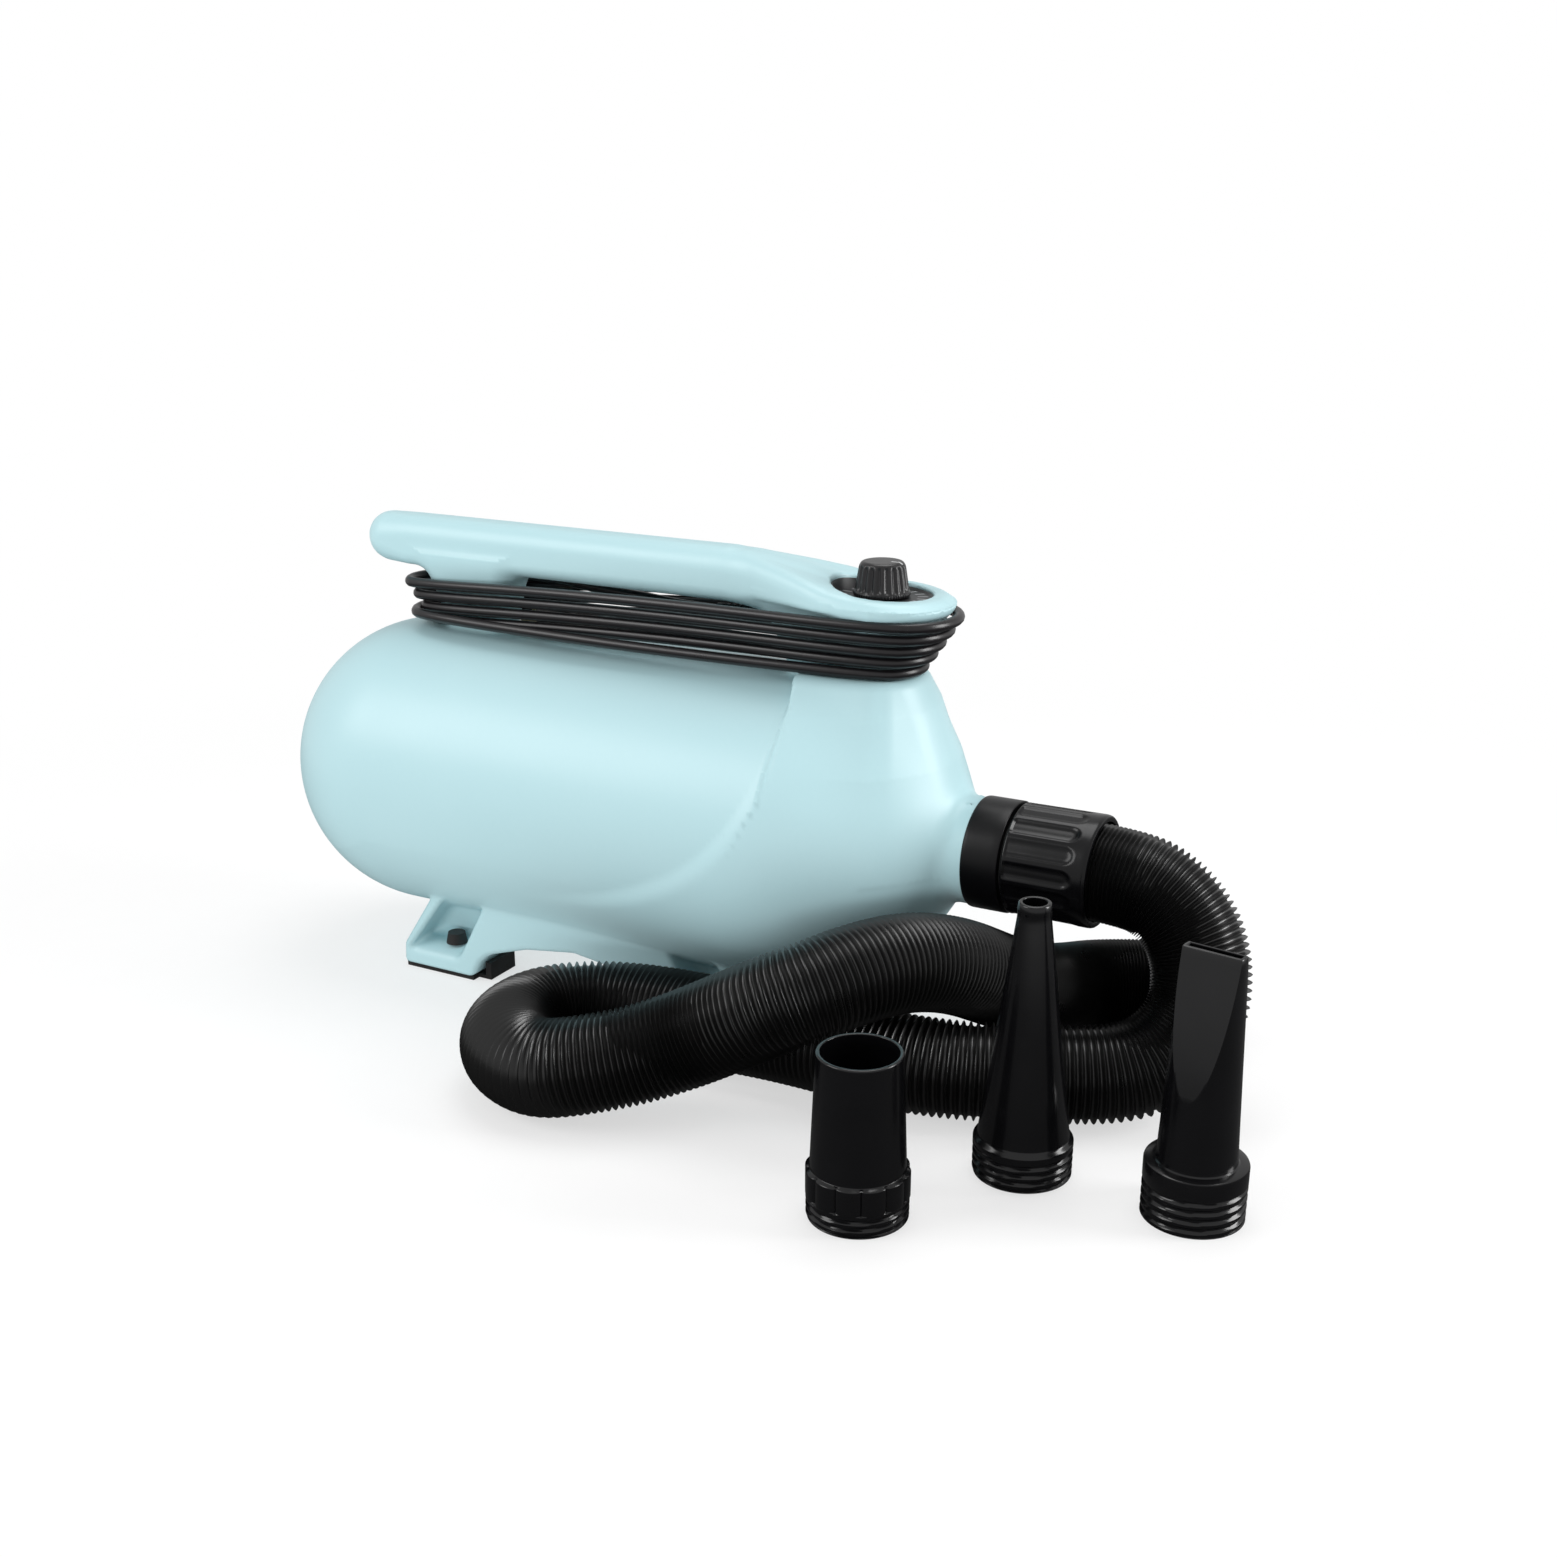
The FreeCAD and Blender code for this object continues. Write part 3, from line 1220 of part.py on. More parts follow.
def build():
    body = housing()
    pieces = {
        "left_shell": shell_half(body, -1),
        "right_shell": shell_half(body, 1),
        "housing_screws": housing_screws(),
        "rubber_feet": rubber_feet(),
        "filter_cover": filter_cover(),
        "foam_filter": foam_filter(),
        "fan_case": fan_case(),
        "fan_end_plate": fan_end_plate(),
        "diffuser": diffuser(),
        "first_impeller": impeller(first_impeller_x),
        "second_impeller": impeller(second_impeller_x),
        "impeller_spacer": impeller_spacer(),
        "rotor_shaft": rotor_shaft(),
        "armature": armature(),
        "commutator": commutator(),
        "field_core": field_core(),
        "field_coils": field_coils(),
        "motor_bracket": motor_bracket(),
        "rear_bearing": bearing(fan_front_x),
        "front_bearing": bearing(motor_front_x - 3 - bearing_width),
        "brush_holders": brush_holders(),
        "carbon_brushes": carbon_brushes(),
        "motor_screws": motor_screws(),
        "rear_motor_gasket": rear_motor_gasket(),
        "front_motor_mount": front_motor_mount(),
        "sound_foam": sound_foam(),
        "dial_plate": dial_plate(),
        "speed_knob": speed_knob(),
        "potentiometer": potentiometer(),
        "potentiometer_nut": potentiometer_nut(),
        "potentiometer_shaft": potentiometer_shaft(),
        "control_board": control_board(),
        "heat_sink": heat_sink(),
        "board_capacitor": board_capacitor(),
        "motor_leads": motor_leads(),
        "mains_lead": mains_lead(),
        "strain_relief": strain_relief(),
        "power_cord": power_cord(),
        "plug_body": plug_body(),
        "plug_blades": plug_blades(),
        "outlet_adapter": outlet_adapter(),
        "outlet_seal": outlet_seal(),
        "hose_coupling": hose_coupling(),
        "hose": hose(),
        "hose_end_cuff": hose_end_cuff(),
        "nozzle_short": nozzle_short(),
        "nozzle_cone": nozzle_cone(),
        "nozzle_flat": nozzle_flat(),
    }
    os.makedirs("parts", exist_ok=True)
    for name, shape in pieces.items():
        print(f"{name}: {len(shape.Solids)} solid, volume {shape.Volume:.0f}, valid {shape.isValid()}")
        shape.exportStep(f"parts/{name}.step")


if __name__ == "__main__":
    build()
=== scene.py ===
import json
import math

import bmesh
import bpy
import numpy as np
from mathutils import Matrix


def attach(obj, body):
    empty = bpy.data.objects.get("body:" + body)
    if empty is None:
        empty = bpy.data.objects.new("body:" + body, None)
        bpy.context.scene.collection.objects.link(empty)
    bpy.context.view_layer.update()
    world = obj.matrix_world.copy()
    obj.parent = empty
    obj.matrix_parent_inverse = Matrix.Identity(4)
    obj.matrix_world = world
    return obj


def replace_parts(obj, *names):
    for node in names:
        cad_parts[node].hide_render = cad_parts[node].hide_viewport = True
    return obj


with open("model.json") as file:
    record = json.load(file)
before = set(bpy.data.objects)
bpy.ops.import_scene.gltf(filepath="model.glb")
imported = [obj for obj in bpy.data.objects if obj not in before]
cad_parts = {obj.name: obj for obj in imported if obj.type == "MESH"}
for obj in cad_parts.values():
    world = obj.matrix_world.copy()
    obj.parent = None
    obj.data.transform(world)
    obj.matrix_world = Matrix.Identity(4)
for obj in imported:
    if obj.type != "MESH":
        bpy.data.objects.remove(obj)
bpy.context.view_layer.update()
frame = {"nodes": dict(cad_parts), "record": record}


# Camera. It stands where the photograph was taken from, a little above the handle and to the
# outlet's side, and its frame is shifted so that its level line falls below the picture's middle.
camera_place = (0.6200, -0.9322, 0.4865)
camera_azimuth = 28.5
camera_elevation = 20.5
focal_share = 1850 / 1557
level_line_share = 94.5 / 1557
camera_data = bpy.data.cameras.new("camera")
camera_data.sensor_width = 36
camera_data.lens = 36 * focal_share
camera_data.shift_y = level_line_share
camera_data.clip_start = 0.05
camera_data.clip_end = 50
camera = bpy.data.objects.new("camera", camera_data)
camera.location = camera_place
camera.rotation_euler = (math.radians(90 - camera_elevation), 0, math.radians(camera_azimuth))
bpy.context.scene.collection.objects.link(camera)
bpy.context.scene.camera = camera
bpy.context.scene.view_settings.view_transform = "Standard"


# Floor and studio light. A matt white table under four soft lamps, as for a catalogue picture: from the
# near left, high over the handle, from behind on the outlet's side, and low in front for the dark pieces.
# The table is white to the camera. Its glow for mirrored and bounced light is weaker near the object.
class Value:
    """A number or colour that a shader node gives, with sums and products of it as Math nodes."""

    def __init__(self, finish, socket):
        self.finish = finish
        self.socket = socket

    def __add__(self, other):
        return self.finish.node("Math", {"operation": "ADD"}, [self, other])

    def __sub__(self, other):
        return self.finish.node("Math", {"operation": "SUBTRACT"}, [self, other])

    def __rsub__(self, other):
        return self.finish.node("Math", {"operation": "SUBTRACT"}, [other, self])

    def __mul__(self, other):
        return self.finish.node("Math", {"operation": "MULTIPLY"}, [self, other])

    __radd__ = __add__
    __rmul__ = __mul__


class Finish:
    """A material's node tree: its shader with fixed values, and one method that adds any other node."""

    camera_ray, bounced_ray, mirrored_ray = 0, 2, 3

    def __init__(self, name, **fixed):
        self.material = bpy.data.materials.new(name)
        self.material.use_nodes = True
        self.tree = self.material.node_tree
        self.shader = self.tree.nodes["Principled BSDF"]
        for socket, value in fixed.items():
            self.shader.inputs[socket.replace("_", " ")].default_value = value

    def feed(self, socket, value):
        """Links a Value to a socket, or writes a plain number or colour into it."""
        if isinstance(value, Value):
            self.tree.links.new(value.socket, socket)
        else:
            socket.default_value = value

    def node(self, kind, settings, inputs, output=0):
        """Adds a node of a kind with its settings and its sockets' values, and gives one of its outputs."""
        made = self.tree.nodes.new("ShaderNode" + kind)
        for name, value in settings.items():
            setattr(made, name, value)
        for key, value in inputs.items() if isinstance(inputs, dict) else enumerate(inputs):
            self.feed(made.inputs[key], value)
        return Value(self, made.outputs[output])

    def place(self):
        """Object coordinates, in metres."""
        return self.node("TexCoord", {}, [], 3)

    def noise(self, per_metre, detail=3.0):
        """Cloudy share from 0 to 1 with so many clouds to a metre."""
        sockets = {"Vector": self.place(), "Scale": per_metre, "Detail": detail}
        return self.node("TexNoise", {}, sockets)

    def mixed(self, factor, first, second):
        """Colour that goes from the first to the second as the factor goes from 0 to 1."""
        ends = [end if isinstance(end, Value) else (*end, 1) for end in (first, second)]
        return self.node("Mix", {"data_type": "RGBA"}, {0: factor, 6: ends[0], 7: ends[1]}, 2)

    def bumped(self, height, strength, depth_mm):
        """Normal of a surface that the height raises by up to the depth."""
        sockets = {"Strength": strength, "Distance": depth_mm / 1000, "Height": height}
        return self.node("Bump", {}, sockets)

    def ray(self, output):
        """1 for the rays of one kind, such as those from the camera, and 0 for the others."""
        return self.node("LightPath", {}, [], output)

    def glow(self, strength):
        """White light that the surface gives by itself."""
        return self.node("Emission", {}, {"Color": (1, 1, 1, 1), "Strength": strength})

    def layered(self, share, first, second):
        """Two whole finishes mixed: the first at a share of 0, the second at 1."""
        return self.node("MixShader", {}, {0: share, 1: first, 2: second})

    def body(self):
        """The shader's own finish."""
        return Value(self, self.shader.outputs[0])

    def shown(self, result):
        """Makes a result the material's surface."""
        self.tree.links.new(result.socket, self.tree.nodes["Material Output"].inputs["Surface"])

    def set(self, **values):
        """Gives the shader's sockets their values, and gives the finished material."""
        for socket, value in values.items():
            self.feed(self.shader.inputs[socket.replace("_", " ")], value)
        return self.material


def dress(piece, material):
    """The piece, with one material all over."""
    piece.data.materials.clear()
    piece.data.materials.append(material)
    return piece


def spread_of(finish, value, start, end):
    """Share from 0 to 1 of a value between two limits, eased at both."""
    return finish.node("MapRange", {"interpolation_type": "SMOOTHSTEP"}, {0: value, 1: start, 2: end})


floor_finish = Finish("matt_table", Roughness=0.75)
floor_tone = floor_finish.mixed(floor_finish.noise(40), (0.93, 0.93, 0.93), (0.96, 0.96, 0.96))
floor_middle = (0.1, -0.05, 0)
floor_places = [floor_finish.place(), floor_middle]
floor_distance = floor_finish.node("VectorMath", {"operation": "DISTANCE"}, floor_places, 1)
white_share = spread_of(floor_finish, floor_distance, 0.35, 1.0) * 0.4 + 0.6
white_share = white_share * floor_finish.ray(Finish.camera_ray)
floor_look = floor_finish.layered(white_share, floor_finish.body(), floor_finish.glow(1.0))
far_share = spread_of(floor_finish, floor_distance, 0.6, 1.5)
mirrored_glow = floor_finish.layered(far_share, floor_finish.glow(0.04), floor_finish.glow(0.6))
mirrored_share = floor_finish.ray(Finish.mirrored_ray) * 0.95
floor_look = floor_finish.layered(mirrored_share, floor_look, mirrored_glow)
bounced_share = floor_finish.ray(Finish.bounced_ray) * 0.75
floor_look = floor_finish.layered(bounced_share, floor_look, floor_finish.glow(0.9))
floor_mesh = bpy.data.meshes.new("floor")
floor_half = 6.0
floor_corners = [(-1, -1), (1, -1), (1, 1), (-1, 1)]
floor_points = [(x * floor_half, y * floor_half, 0) for x, y in floor_corners]
floor_mesh.from_pydata(floor_points, [], [(0, 1, 2, 3)])
floor = bpy.data.objects.new("floor", floor_mesh)
bpy.context.scene.collection.objects.link(floor)
dress(floor, floor_finish.set(Base_Color=floor_tone))
floor_finish.shown(floor_look)

lamp_aim = (0.05, -0.03, 0.15)
lamps = [
    ("left_softbox", (-1.3, -1.4, 1.4), 1.2, 1.2, 18),
    ("top_softbox", (0.1, 0.4, 1.8), 1.1, 1.1, 12),
    ("right_softbox", (1.5, 0.45, 0.6), 0.5, 1.0, 15),
    ("low_fill", (0.5, -2.2, 0.25), 2.2, 0.4, 18),
]
for name, place, width, height, power in lamps:
    lamp_data = bpy.data.lights.new(name, "AREA")
    lamp_data.shape = "RECTANGLE"
    lamp_data.size = width
    lamp_data.size_y = height
    lamp_data.energy = power
    lamp = bpy.data.objects.new(name, lamp_data)
    lamp.visible_glossy = name != "low_fill"
    lamp.location = place
    aim = np.array(lamp_aim) - np.array(place)
    tilt = math.atan2(math.hypot(aim[0], aim[1]), -aim[2])
    lamp.rotation_euler = (tilt, 0, math.atan2(-aim[0], aim[1]))
    bpy.context.scene.collection.objects.link(lamp)

# The world is white to the camera, a little weaker in mirrors, and half as strong for other light.
world = bpy.data.worlds.new("studio")
bpy.context.scene.world = world
world.use_nodes = True
sky = world.node_tree.nodes["Background"]
rays = world.node_tree.nodes.new("ShaderNodeLightPath")
seen, mirrored = (world.node_tree.nodes.new("ShaderNodeMath") for _ in range(2))
seen.operation = mirrored.operation = "MULTIPLY_ADD"
world_steps = [(seen, "Is Camera Ray", 0.5, 0.5), (mirrored, "Is Glossy Ray", 0.1, 0.0)]
for step, ray, gain, start in world_steps:
    world.node_tree.links.new(rays.outputs[ray], step.inputs[0])
    step.inputs[1].default_value = gain
    step.inputs[2].default_value = start
world.node_tree.links.new(seen.outputs[0], mirrored.inputs[2])
world.node_tree.links.new(mirrored.outputs[0], sky.inputs["Strength"])
sky.inputs["Color"].default_value = (1, 1, 1, 1)


# Mains cord. A round rubber-sheathed cord of 6.4 mm leaves the sleeve behind the knob's column, is
# wound five times round the column and the rear post, and ends in its plug under the grip.
# The route's points are in millimetres. Each turn has its own heights at the post and at the column.
cord_radius = 3.2
stand_off = cord_radius + 0.5
lean = 1.3
relief_end = (73, 0, 249)
cord_start = [(51, 0, 249), (22, 5, 250), (-22, 14, 250), (-64, 19.5, 252.5)]
cord_tail = [(118, 24.5, 228.6), (95, 17, 230), (68, 8, 230.5),
             (40, 2, 230.7), (16, 0, 230.7), (-10, 0, 230.7)]
back_levels = [(247.0, 0.0), (239.7, 0.0), (232.5, 0.0), (225.3, 0.0), (229.2, 8.6)]
front_levels = [258.0, 250.5, 243.2, 236.3, 228.8]
near_bulge = [1.5, 1.0, 1.4, 1.0, 7.0]
far_bulge = [0.8, 0.8, -3.0, 6.0]
far_drop = [1.8, 1.8, 1.8, 0.6]


def half_turn(center_x, radius, z, way):
    """Corners of a half octagon, from +Y to -Y round the back, or from -Y to +Y round the front."""
    t = math.tan(math.radians(22.5))
    corners = [(t, 1.0), (1.0, t), (1.0, -t), (t, -1.0)][::-way]
    return [(center_x + way * along * radius, across * radius, z) for along, across in corners]


def post_turn(back_z, outward):
    """Middle and radius of the half turn round the post, which narrows downwards and whose back slopes."""
    share = (260 - back_z) / 53
    radius = 15.5 - 2.5 * share + stand_off + outward
    return -158 + 43 * share - outward - lean - stand_off + radius, radius


def column_turn(front_z):
    """Middle and radius of the half turn round the column, which narrows downwards."""
    share = (265 - front_z) / 43
    radius = 34.5 - 15.5 * share + stand_off + lean
    return 224 - 29 * share + lean + stand_off - radius, radius


def winding():
    """The whole route: sleeve, five turns with a half turn at the post and one at the column, and plug.
    Between the half turns the cord goes straight but for a bulge of half a sine."""
    points = [relief_end] + cord_start
    for turn in range(5):
        back_z, outward = back_levels[turn]
        front_z = front_levels[turn]
        center, back_radius = post_turn(back_z, outward)
        front_center, front_radius = column_turn(front_z)
        points += half_turn(center, back_radius, back_z, -1)
        for f, rise in ((0.3, 0.55), (0.64, 0.9)):
            x = center + (front_center - center) * f
            y = back_radius + (front_radius - back_radius) * f + near_bulge[turn] * math.sin(math.pi * f)
            points.append((x, -y, back_z + (front_z - back_z) * rise))
        points += half_turn(front_center, front_radius, front_z, 1)
        if turn < 4:
            next_z, next_out = back_levels[turn + 1]
            far_y = 15.5 + stand_off + next_out - 1
            for f in (0.36, 0.7):
                x = front_center + (center - front_center) * f
                y = front_radius + (far_y - front_radius) * f + far_bulge[turn] * math.sin(math.pi * f)
                points.append((x, y, front_z + (next_z - front_z) * f ** far_drop[turn]))
    return points + cord_tail


def smooth_route(name, points, radius=0.0):
    """Curve of one open spline through millimetre points, smooth, with a round section of the radius."""
    curve = bpy.data.curves.new(name, "CURVE")
    curve.dimensions = "3D"
    spline = curve.splines.new("NURBS")
    spline.points.add(len(points) - 1)
    spline.points.foreach_set("co", np.c_[np.array(points) / 1000, np.ones(len(points))].ravel())
    spline.order_u = 3
    spline.use_endpoint_u = True
    spline.resolution_u = 6
    curve.bevel_depth = radius / 1000
    curve.bevel_resolution = 5
    curve.use_fill_caps = radius > 0
    route = bpy.data.objects.new(name, curve)
    bpy.context.scene.collection.objects.link(route)
    return route


def sheath(name, color, roughness, per_metre=700, depth_mm=0.05, shine=0.5):
    """Dark moulded rubber: faint cloudiness, worn gloss and a fine grain."""
    finish = Finish(name, Specular_IOR_Level=shine)
    cloud = finish.noise(60)
    tone = finish.mixed(cloud, [c * 0.75 for c in color], [c * 1.35 for c in color])
    worn = finish.noise(25, 5) * 0.16 + (roughness - 0.08)
    grain = finish.bumped(finish.noise(per_metre), 0.35, depth_mm)
    return finish.set(Base_Color=tone, Roughness=worn, Normal=grain)


cord_rubber = sheath("cord_rubber", (0.007, 0.006, 0.007), 0.30)
power_cord = dress(smooth_route("mains_cord", winding(), cord_radius), cord_rubber)
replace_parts(power_cord, "power_cord")
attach(power_cord, "base")
for node in ("strain_relief", "plug_body"):
    dress(frame["nodes"][node], cord_rubber)


# Ribbed hose. A blown sleeve of 55 mm with close ribs leaves the coupling, drops to the floor, runs
# back along the dryer, turns and lies over itself, and ends in its cuff on the outlet's far side.
# It is a tube whose radius swells and sinks with each rib, carried along the route. The ribs lie closer
# or wider as the hose is pressed or drawn out: their pitches stand at shares of its length.
hose_points = [(289, 0, 127), (337, 0, 127), (357, 0, 119), (372, -1, 104), (380, -4, 84),
               (382, -11, 62), (375, -22, 44), (363, -34, 33), (346, -45, 28.5), (324, -56, 28),
               (299, -68, 28), (270, -80, 28), (240, -86, 28), (208, -87, 28), (176, -86, 28),
               (147, -87, 28), (119, -91, 28), (90, -93, 28), (61, -99, 28), (37, -111, 28),
               (22, -133, 28), (23, -159, 28), (40, -181, 28), (66, -190, 28), (92, -180, 33),
               (115, -166, 38), (138, -153, 47), (160, -147, 59), (183, -142, 72), (205, -130, 82),
               (224, -105, 88), (240, -79, 87), (254, -51, 77), (264, -20, 59),
               (273, 10, 42), (284, 38, 33.5), (304, 63, 32), (338, 78, 32)]
rib_pitches = [(0.0, 2.3), (0.08, 2.6), (0.17, 4.0), (0.26, 4.3), (0.4, 3.8), (0.62, 3.6), (0.78, 3.2),
               (0.88, 2.4), (1.0, 2.1)]
rib_shape = [(0.0, 24.5), (0.22, 25.0), (0.38, 26.9), (0.5, 27.5), (0.62, 26.9), (0.78, 25.0)]
hose_bore = 21.0
round_the_hose = 40


def route_line(points):
    """Closely spaced points of the smooth spline that has the given control points, in millimetres."""
    helper = smooth_route("route", points)
    plain = bpy.data.meshes.new_from_object(helper)
    line = np.empty(len(plain.vertices) * 3, np.float32)
    plain.vertices.foreach_get("co", line)
    bpy.data.objects.remove(helper)
    bpy.data.meshes.remove(plain)
    return line.reshape(-1, 3).astype(float) * 1000


def carried_rings(line, stations, radii, around):
    """Rings of points round a line, one at each station from 0 to 1 with its radius. Each is square to
    the line's smoothed direction, and starts from the side of the one before, so nothing twists."""
    along = np.r_[0, np.cumsum(np.linalg.norm(np.diff(line, axis=0), axis=1))]
    centers = np.stack([np.interp(stations * along[-1], along, line[:, k]) for k in range(3)], axis=1)
    fine = np.linspace(0, 1, 400)
    track = np.stack([np.interp(fine * along[-1], along, line[:, k]) for k in range(3)], axis=1)
    pull = np.gradient(track, axis=0)
    soft = np.hanning(11) / np.hanning(11).sum()
    pull = np.pad(pull, ((5, 5), (0, 0)), "edge")
    pull = np.stack([np.convolve(pull[:, k], soft, "valid") for k in range(3)], axis=1)
    tangents = np.stack([np.interp(stations, fine, pull[:, k]) for k in range(3)], axis=1)
    tangents /= np.linalg.norm(tangents, axis=1)[:, None]
    sides = np.empty_like(tangents)
    side = np.cross(tangents[0], (0.0, 0.0, 1.0))
    for k, t in enumerate(tangents):
        side = side - t * (side @ t)
        side /= np.linalg.norm(side)
        sides[k] = side
    ups = np.cross(tangents, sides)
    turn = np.linspace(0, 2 * np.pi, around, endpoint=False)[None, :, None]
    ring = sides[:, None] * np.cos(turn) + ups[:, None] * np.sin(turn)
    return centers[:, None] + ring * np.broadcast_to(radii, stations.shape)[:, None, None]


def finished_mesh(name, points, faces, smooth_angle):
    """Object of millimetre points and faces, with doubles merged, faces outward and smooth shading."""
    mesh = bpy.data.meshes.new(name)
    mesh.from_pydata((points / 1000).tolist(), [], faces.tolist())
    work = bmesh.new()
    work.from_mesh(mesh)
    bmesh.ops.remove_doubles(work, verts=work.verts, dist=2e-6)
    bmesh.ops.dissolve_degenerate(work, edges=work.edges, dist=1e-7)
    bmesh.ops.recalc_face_normals(work, faces=work.faces)
    work.to_mesh(mesh)
    work.free()
    mesh.shade_smooth()
    mesh.set_sharp_from_angle(angle=math.radians(smooth_angle))
    piece = bpy.data.objects.new(name, mesh)
    bpy.context.scene.collection.objects.link(piece)
    return piece


def wrapped(name, grid, smooth_angle=45):
    """Object whose skin is a grid of millimetre points, closed round and from its last row to its first."""
    rows, around = grid.shape[:2]
    below = np.arange(rows * around).reshape(rows, around)
    above = np.roll(below, -1, axis=0)
    faces = np.stack([below, np.roll(below, -1, axis=1), np.roll(above, -1, axis=1), above], axis=-1)
    return finished_mesh(name, grid.reshape(-1, 3), faces.reshape(-1, 4), smooth_angle)


hose_line = route_line(hose_points)
rib_places = np.array([place for place, _ in rib_shape])
rib_radii = np.array([radius for _, radius in rib_shape])
hose_length = np.linalg.norm(np.diff(hose_line, axis=0), axis=1).sum()
fine_steps = 2001
fine_share = np.linspace(0, 1, fine_steps)
rib_count = np.cumsum(hose_length / fine_steps / np.interp(fine_share, *zip(*rib_pitches)))
hose_ribs = int(rib_count[-1])
rib_marks = (np.arange(hose_ribs)[:, None] + rib_places).ravel() / hose_ribs
rib_reach = (rib_count - rib_count[0]) / np.ptp(rib_count)
hose_stations = np.r_[np.interp(rib_marks, rib_reach, fine_share), 1.0]
hose_radii = np.r_[np.tile(rib_radii, hose_ribs), rib_radii[0]]
hose_skin = carried_rings(hose_line, hose_stations, hose_radii, round_the_hose)
hose_inside = carried_rings(hose_line, np.linspace(0, 1, 90), hose_bore, round_the_hose)
hose_grid = np.concatenate([hose_skin, hose_inside[::-1]])
hose_finish = Finish("ribbed_hose", Specular_IOR_Level=0.65)
hose_tone = hose_finish.mixed(hose_finish.noise(30), (0.002, 0.002, 0.002), (0.005, 0.005, 0.005))
hose_gloss = hose_finish.noise(45, 4) * 0.10 + 0.24
hose_grain = hose_finish.bumped(hose_finish.noise(900), 0.25, 0.05)
hose = dress(wrapped("ribbed_hose", hose_grid, 70),
             hose_finish.set(Base_Color=hose_tone, Roughness=hose_gloss, Normal=hose_grain))
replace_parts(hose, "hose")
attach(hose, "base")


# Outlet ring, coupling and cuff, moulded in black. The ring is pushed on the spigot, the coupling turns on
# it, with fifteen shallow thumb grooves that end round near the hose, and the cuff ends the hose.
# Each is a closed outline of (along, radius) points in millimetres, turned about its line.
def softened(outline, reaches, steps=5):
    """Closed outline whose corners become short curves that begin at their reach from each corner."""
    corners = np.array(outline, float)
    before = np.roll(corners, 1, axis=0) - corners
    after = np.roll(corners, -1, axis=0) - corners
    ease = np.linspace(0, 1, steps)[:, None]
    curves = []
    for corner, back, ahead, reach in zip(corners, before, after, reaches):
        back = back * min(reach / np.linalg.norm(back), 0.45)
        ahead = ahead * min(reach / np.linalg.norm(ahead), 0.45)
        curves.append(corner + back * (1 - ease) ** 2 + ahead * ease ** 2)
    return np.concatenate(curves)


def filled(outline, longest, fine_below=-1.0):
    """The same outline with points added on its long steps, and more of them on a thread's outside."""
    parts = []
    for here, there in zip(outline, np.roll(outline, -1, axis=0)):
        on_thread = (here[0] + there[0]) / 2 < fine_below and min(here[1], there[1]) > 25
        step = 0.45 if on_thread else longest
        count = max(1, math.ceil(np.linalg.norm(there - here) / step))
        parts.append(here + (there - here) * np.linspace(0, 1, count, endpoint=False)[:, None])
    return np.concatenate(parts)


def turned(outline, start, along, around, carve=None):
    """Grid of points of an outline turned about a line, its radius lessened by carve(along, radius, turn)."""
    along = np.array(along) / np.linalg.norm(along)
    side = np.cross(along, (0, 1, 0))
    side /= np.linalg.norm(side)
    turn = np.linspace(0, 2 * np.pi, around, endpoint=False)
    ring = np.cos(turn)[:, None] * side + np.sin(turn)[:, None] * np.cross(along, side)
    far, radius = outline[:, :1], outline[:, 1:]
    radius = (radius - carve(far, radius, turn) if carve else radius) * np.ones(around)
    return np.array(start) + far[..., None] * along + radius[..., None] * ring


def thumb_grooves(far, radius, turn):
    """Depth of the coupling's grooves: full in the middle, and falling as the fourth power of the share
    of the half width that a point lies off it, or off the round end towards the hose."""
    grooves = 15
    across = ((turn * grooves / (2 * np.pi)) % 1 - 0.5) * 2 * np.pi * 32.2 / grooves
    reach = np.hypot(across, np.maximum(far - 305.5, 0)) / 5.1
    begun = np.clip((far - 271.2) / 0.8, 0, 1)
    return np.where(radius > 30.5, 1.3 * begun * np.clip(1 - reach ** 4, 0, 1), 0)


def stand_in(piece, material, node, body="base"):
    """Dresses a piece and has it stand for its CAD node on the given body."""
    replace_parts(dress(piece, material), node)
    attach(piece, body)


outlet_black = sheath("outlet_black", (0.002, 0.002, 0.0025), 0.34, 700, 0.01, 0.25)
grip_black = sheath("grip_black", (0.002, 0.002, 0.0025), 0.22, 600, 0.004, 0.32)
blower_line = (0, 0, 127), (1, 0, 0)
ring_corners = [(246.2, 31.1), (246.2, 32.4), (268, 32.4), (268, 25.4), (280, 25.4), (280, 20), (235, 20),
                (235, 27.9), (251.2, 27.9), (251.2, 31.1)]
ring_reaches = [0.3, 2.4, 0.7, 0.4, 0.6, 0.4, 0.4, 0.4, 0.1, 0.1]
ring_grid = turned(filled(softened(ring_corners, ring_reaches), 6), *blower_line, 144)
stand_in(wrapped("outlet_ring", ring_grid), outlet_black, "outlet_adapter")
coupling_corners = [(269.9, 26.3), (269.9, 31.9), (319, 32.2), (319, 28.4), (280.3, 27.8), (280.3, 26.3)]
coupling_outline = softened(coupling_corners, [0.2, 1.0, 3.4, 0.5, 0.1, 0.1])
coupling_grid = turned(filled(coupling_outline, 1.2), *blower_line, 300, thumb_grooves)
stand_in(wrapped("thumb_coupling", coupling_grid, 30), grip_black, "hose_coupling", "coupling")
cuff_way = np.subtract(hose_points[-1], hose_points[-2]) / math.dist(hose_points[-1], hose_points[-2])
cuff_overlap = 14
cuff_corners = [(0, 27.6), (0, 31.5), (4, 31.5), (4.6, 30.5), (45, 30.5), (45, 26.5), (16, 26.5), (16, 21),
                (cuff_overlap, 21), (cuff_overlap, 27.6)]
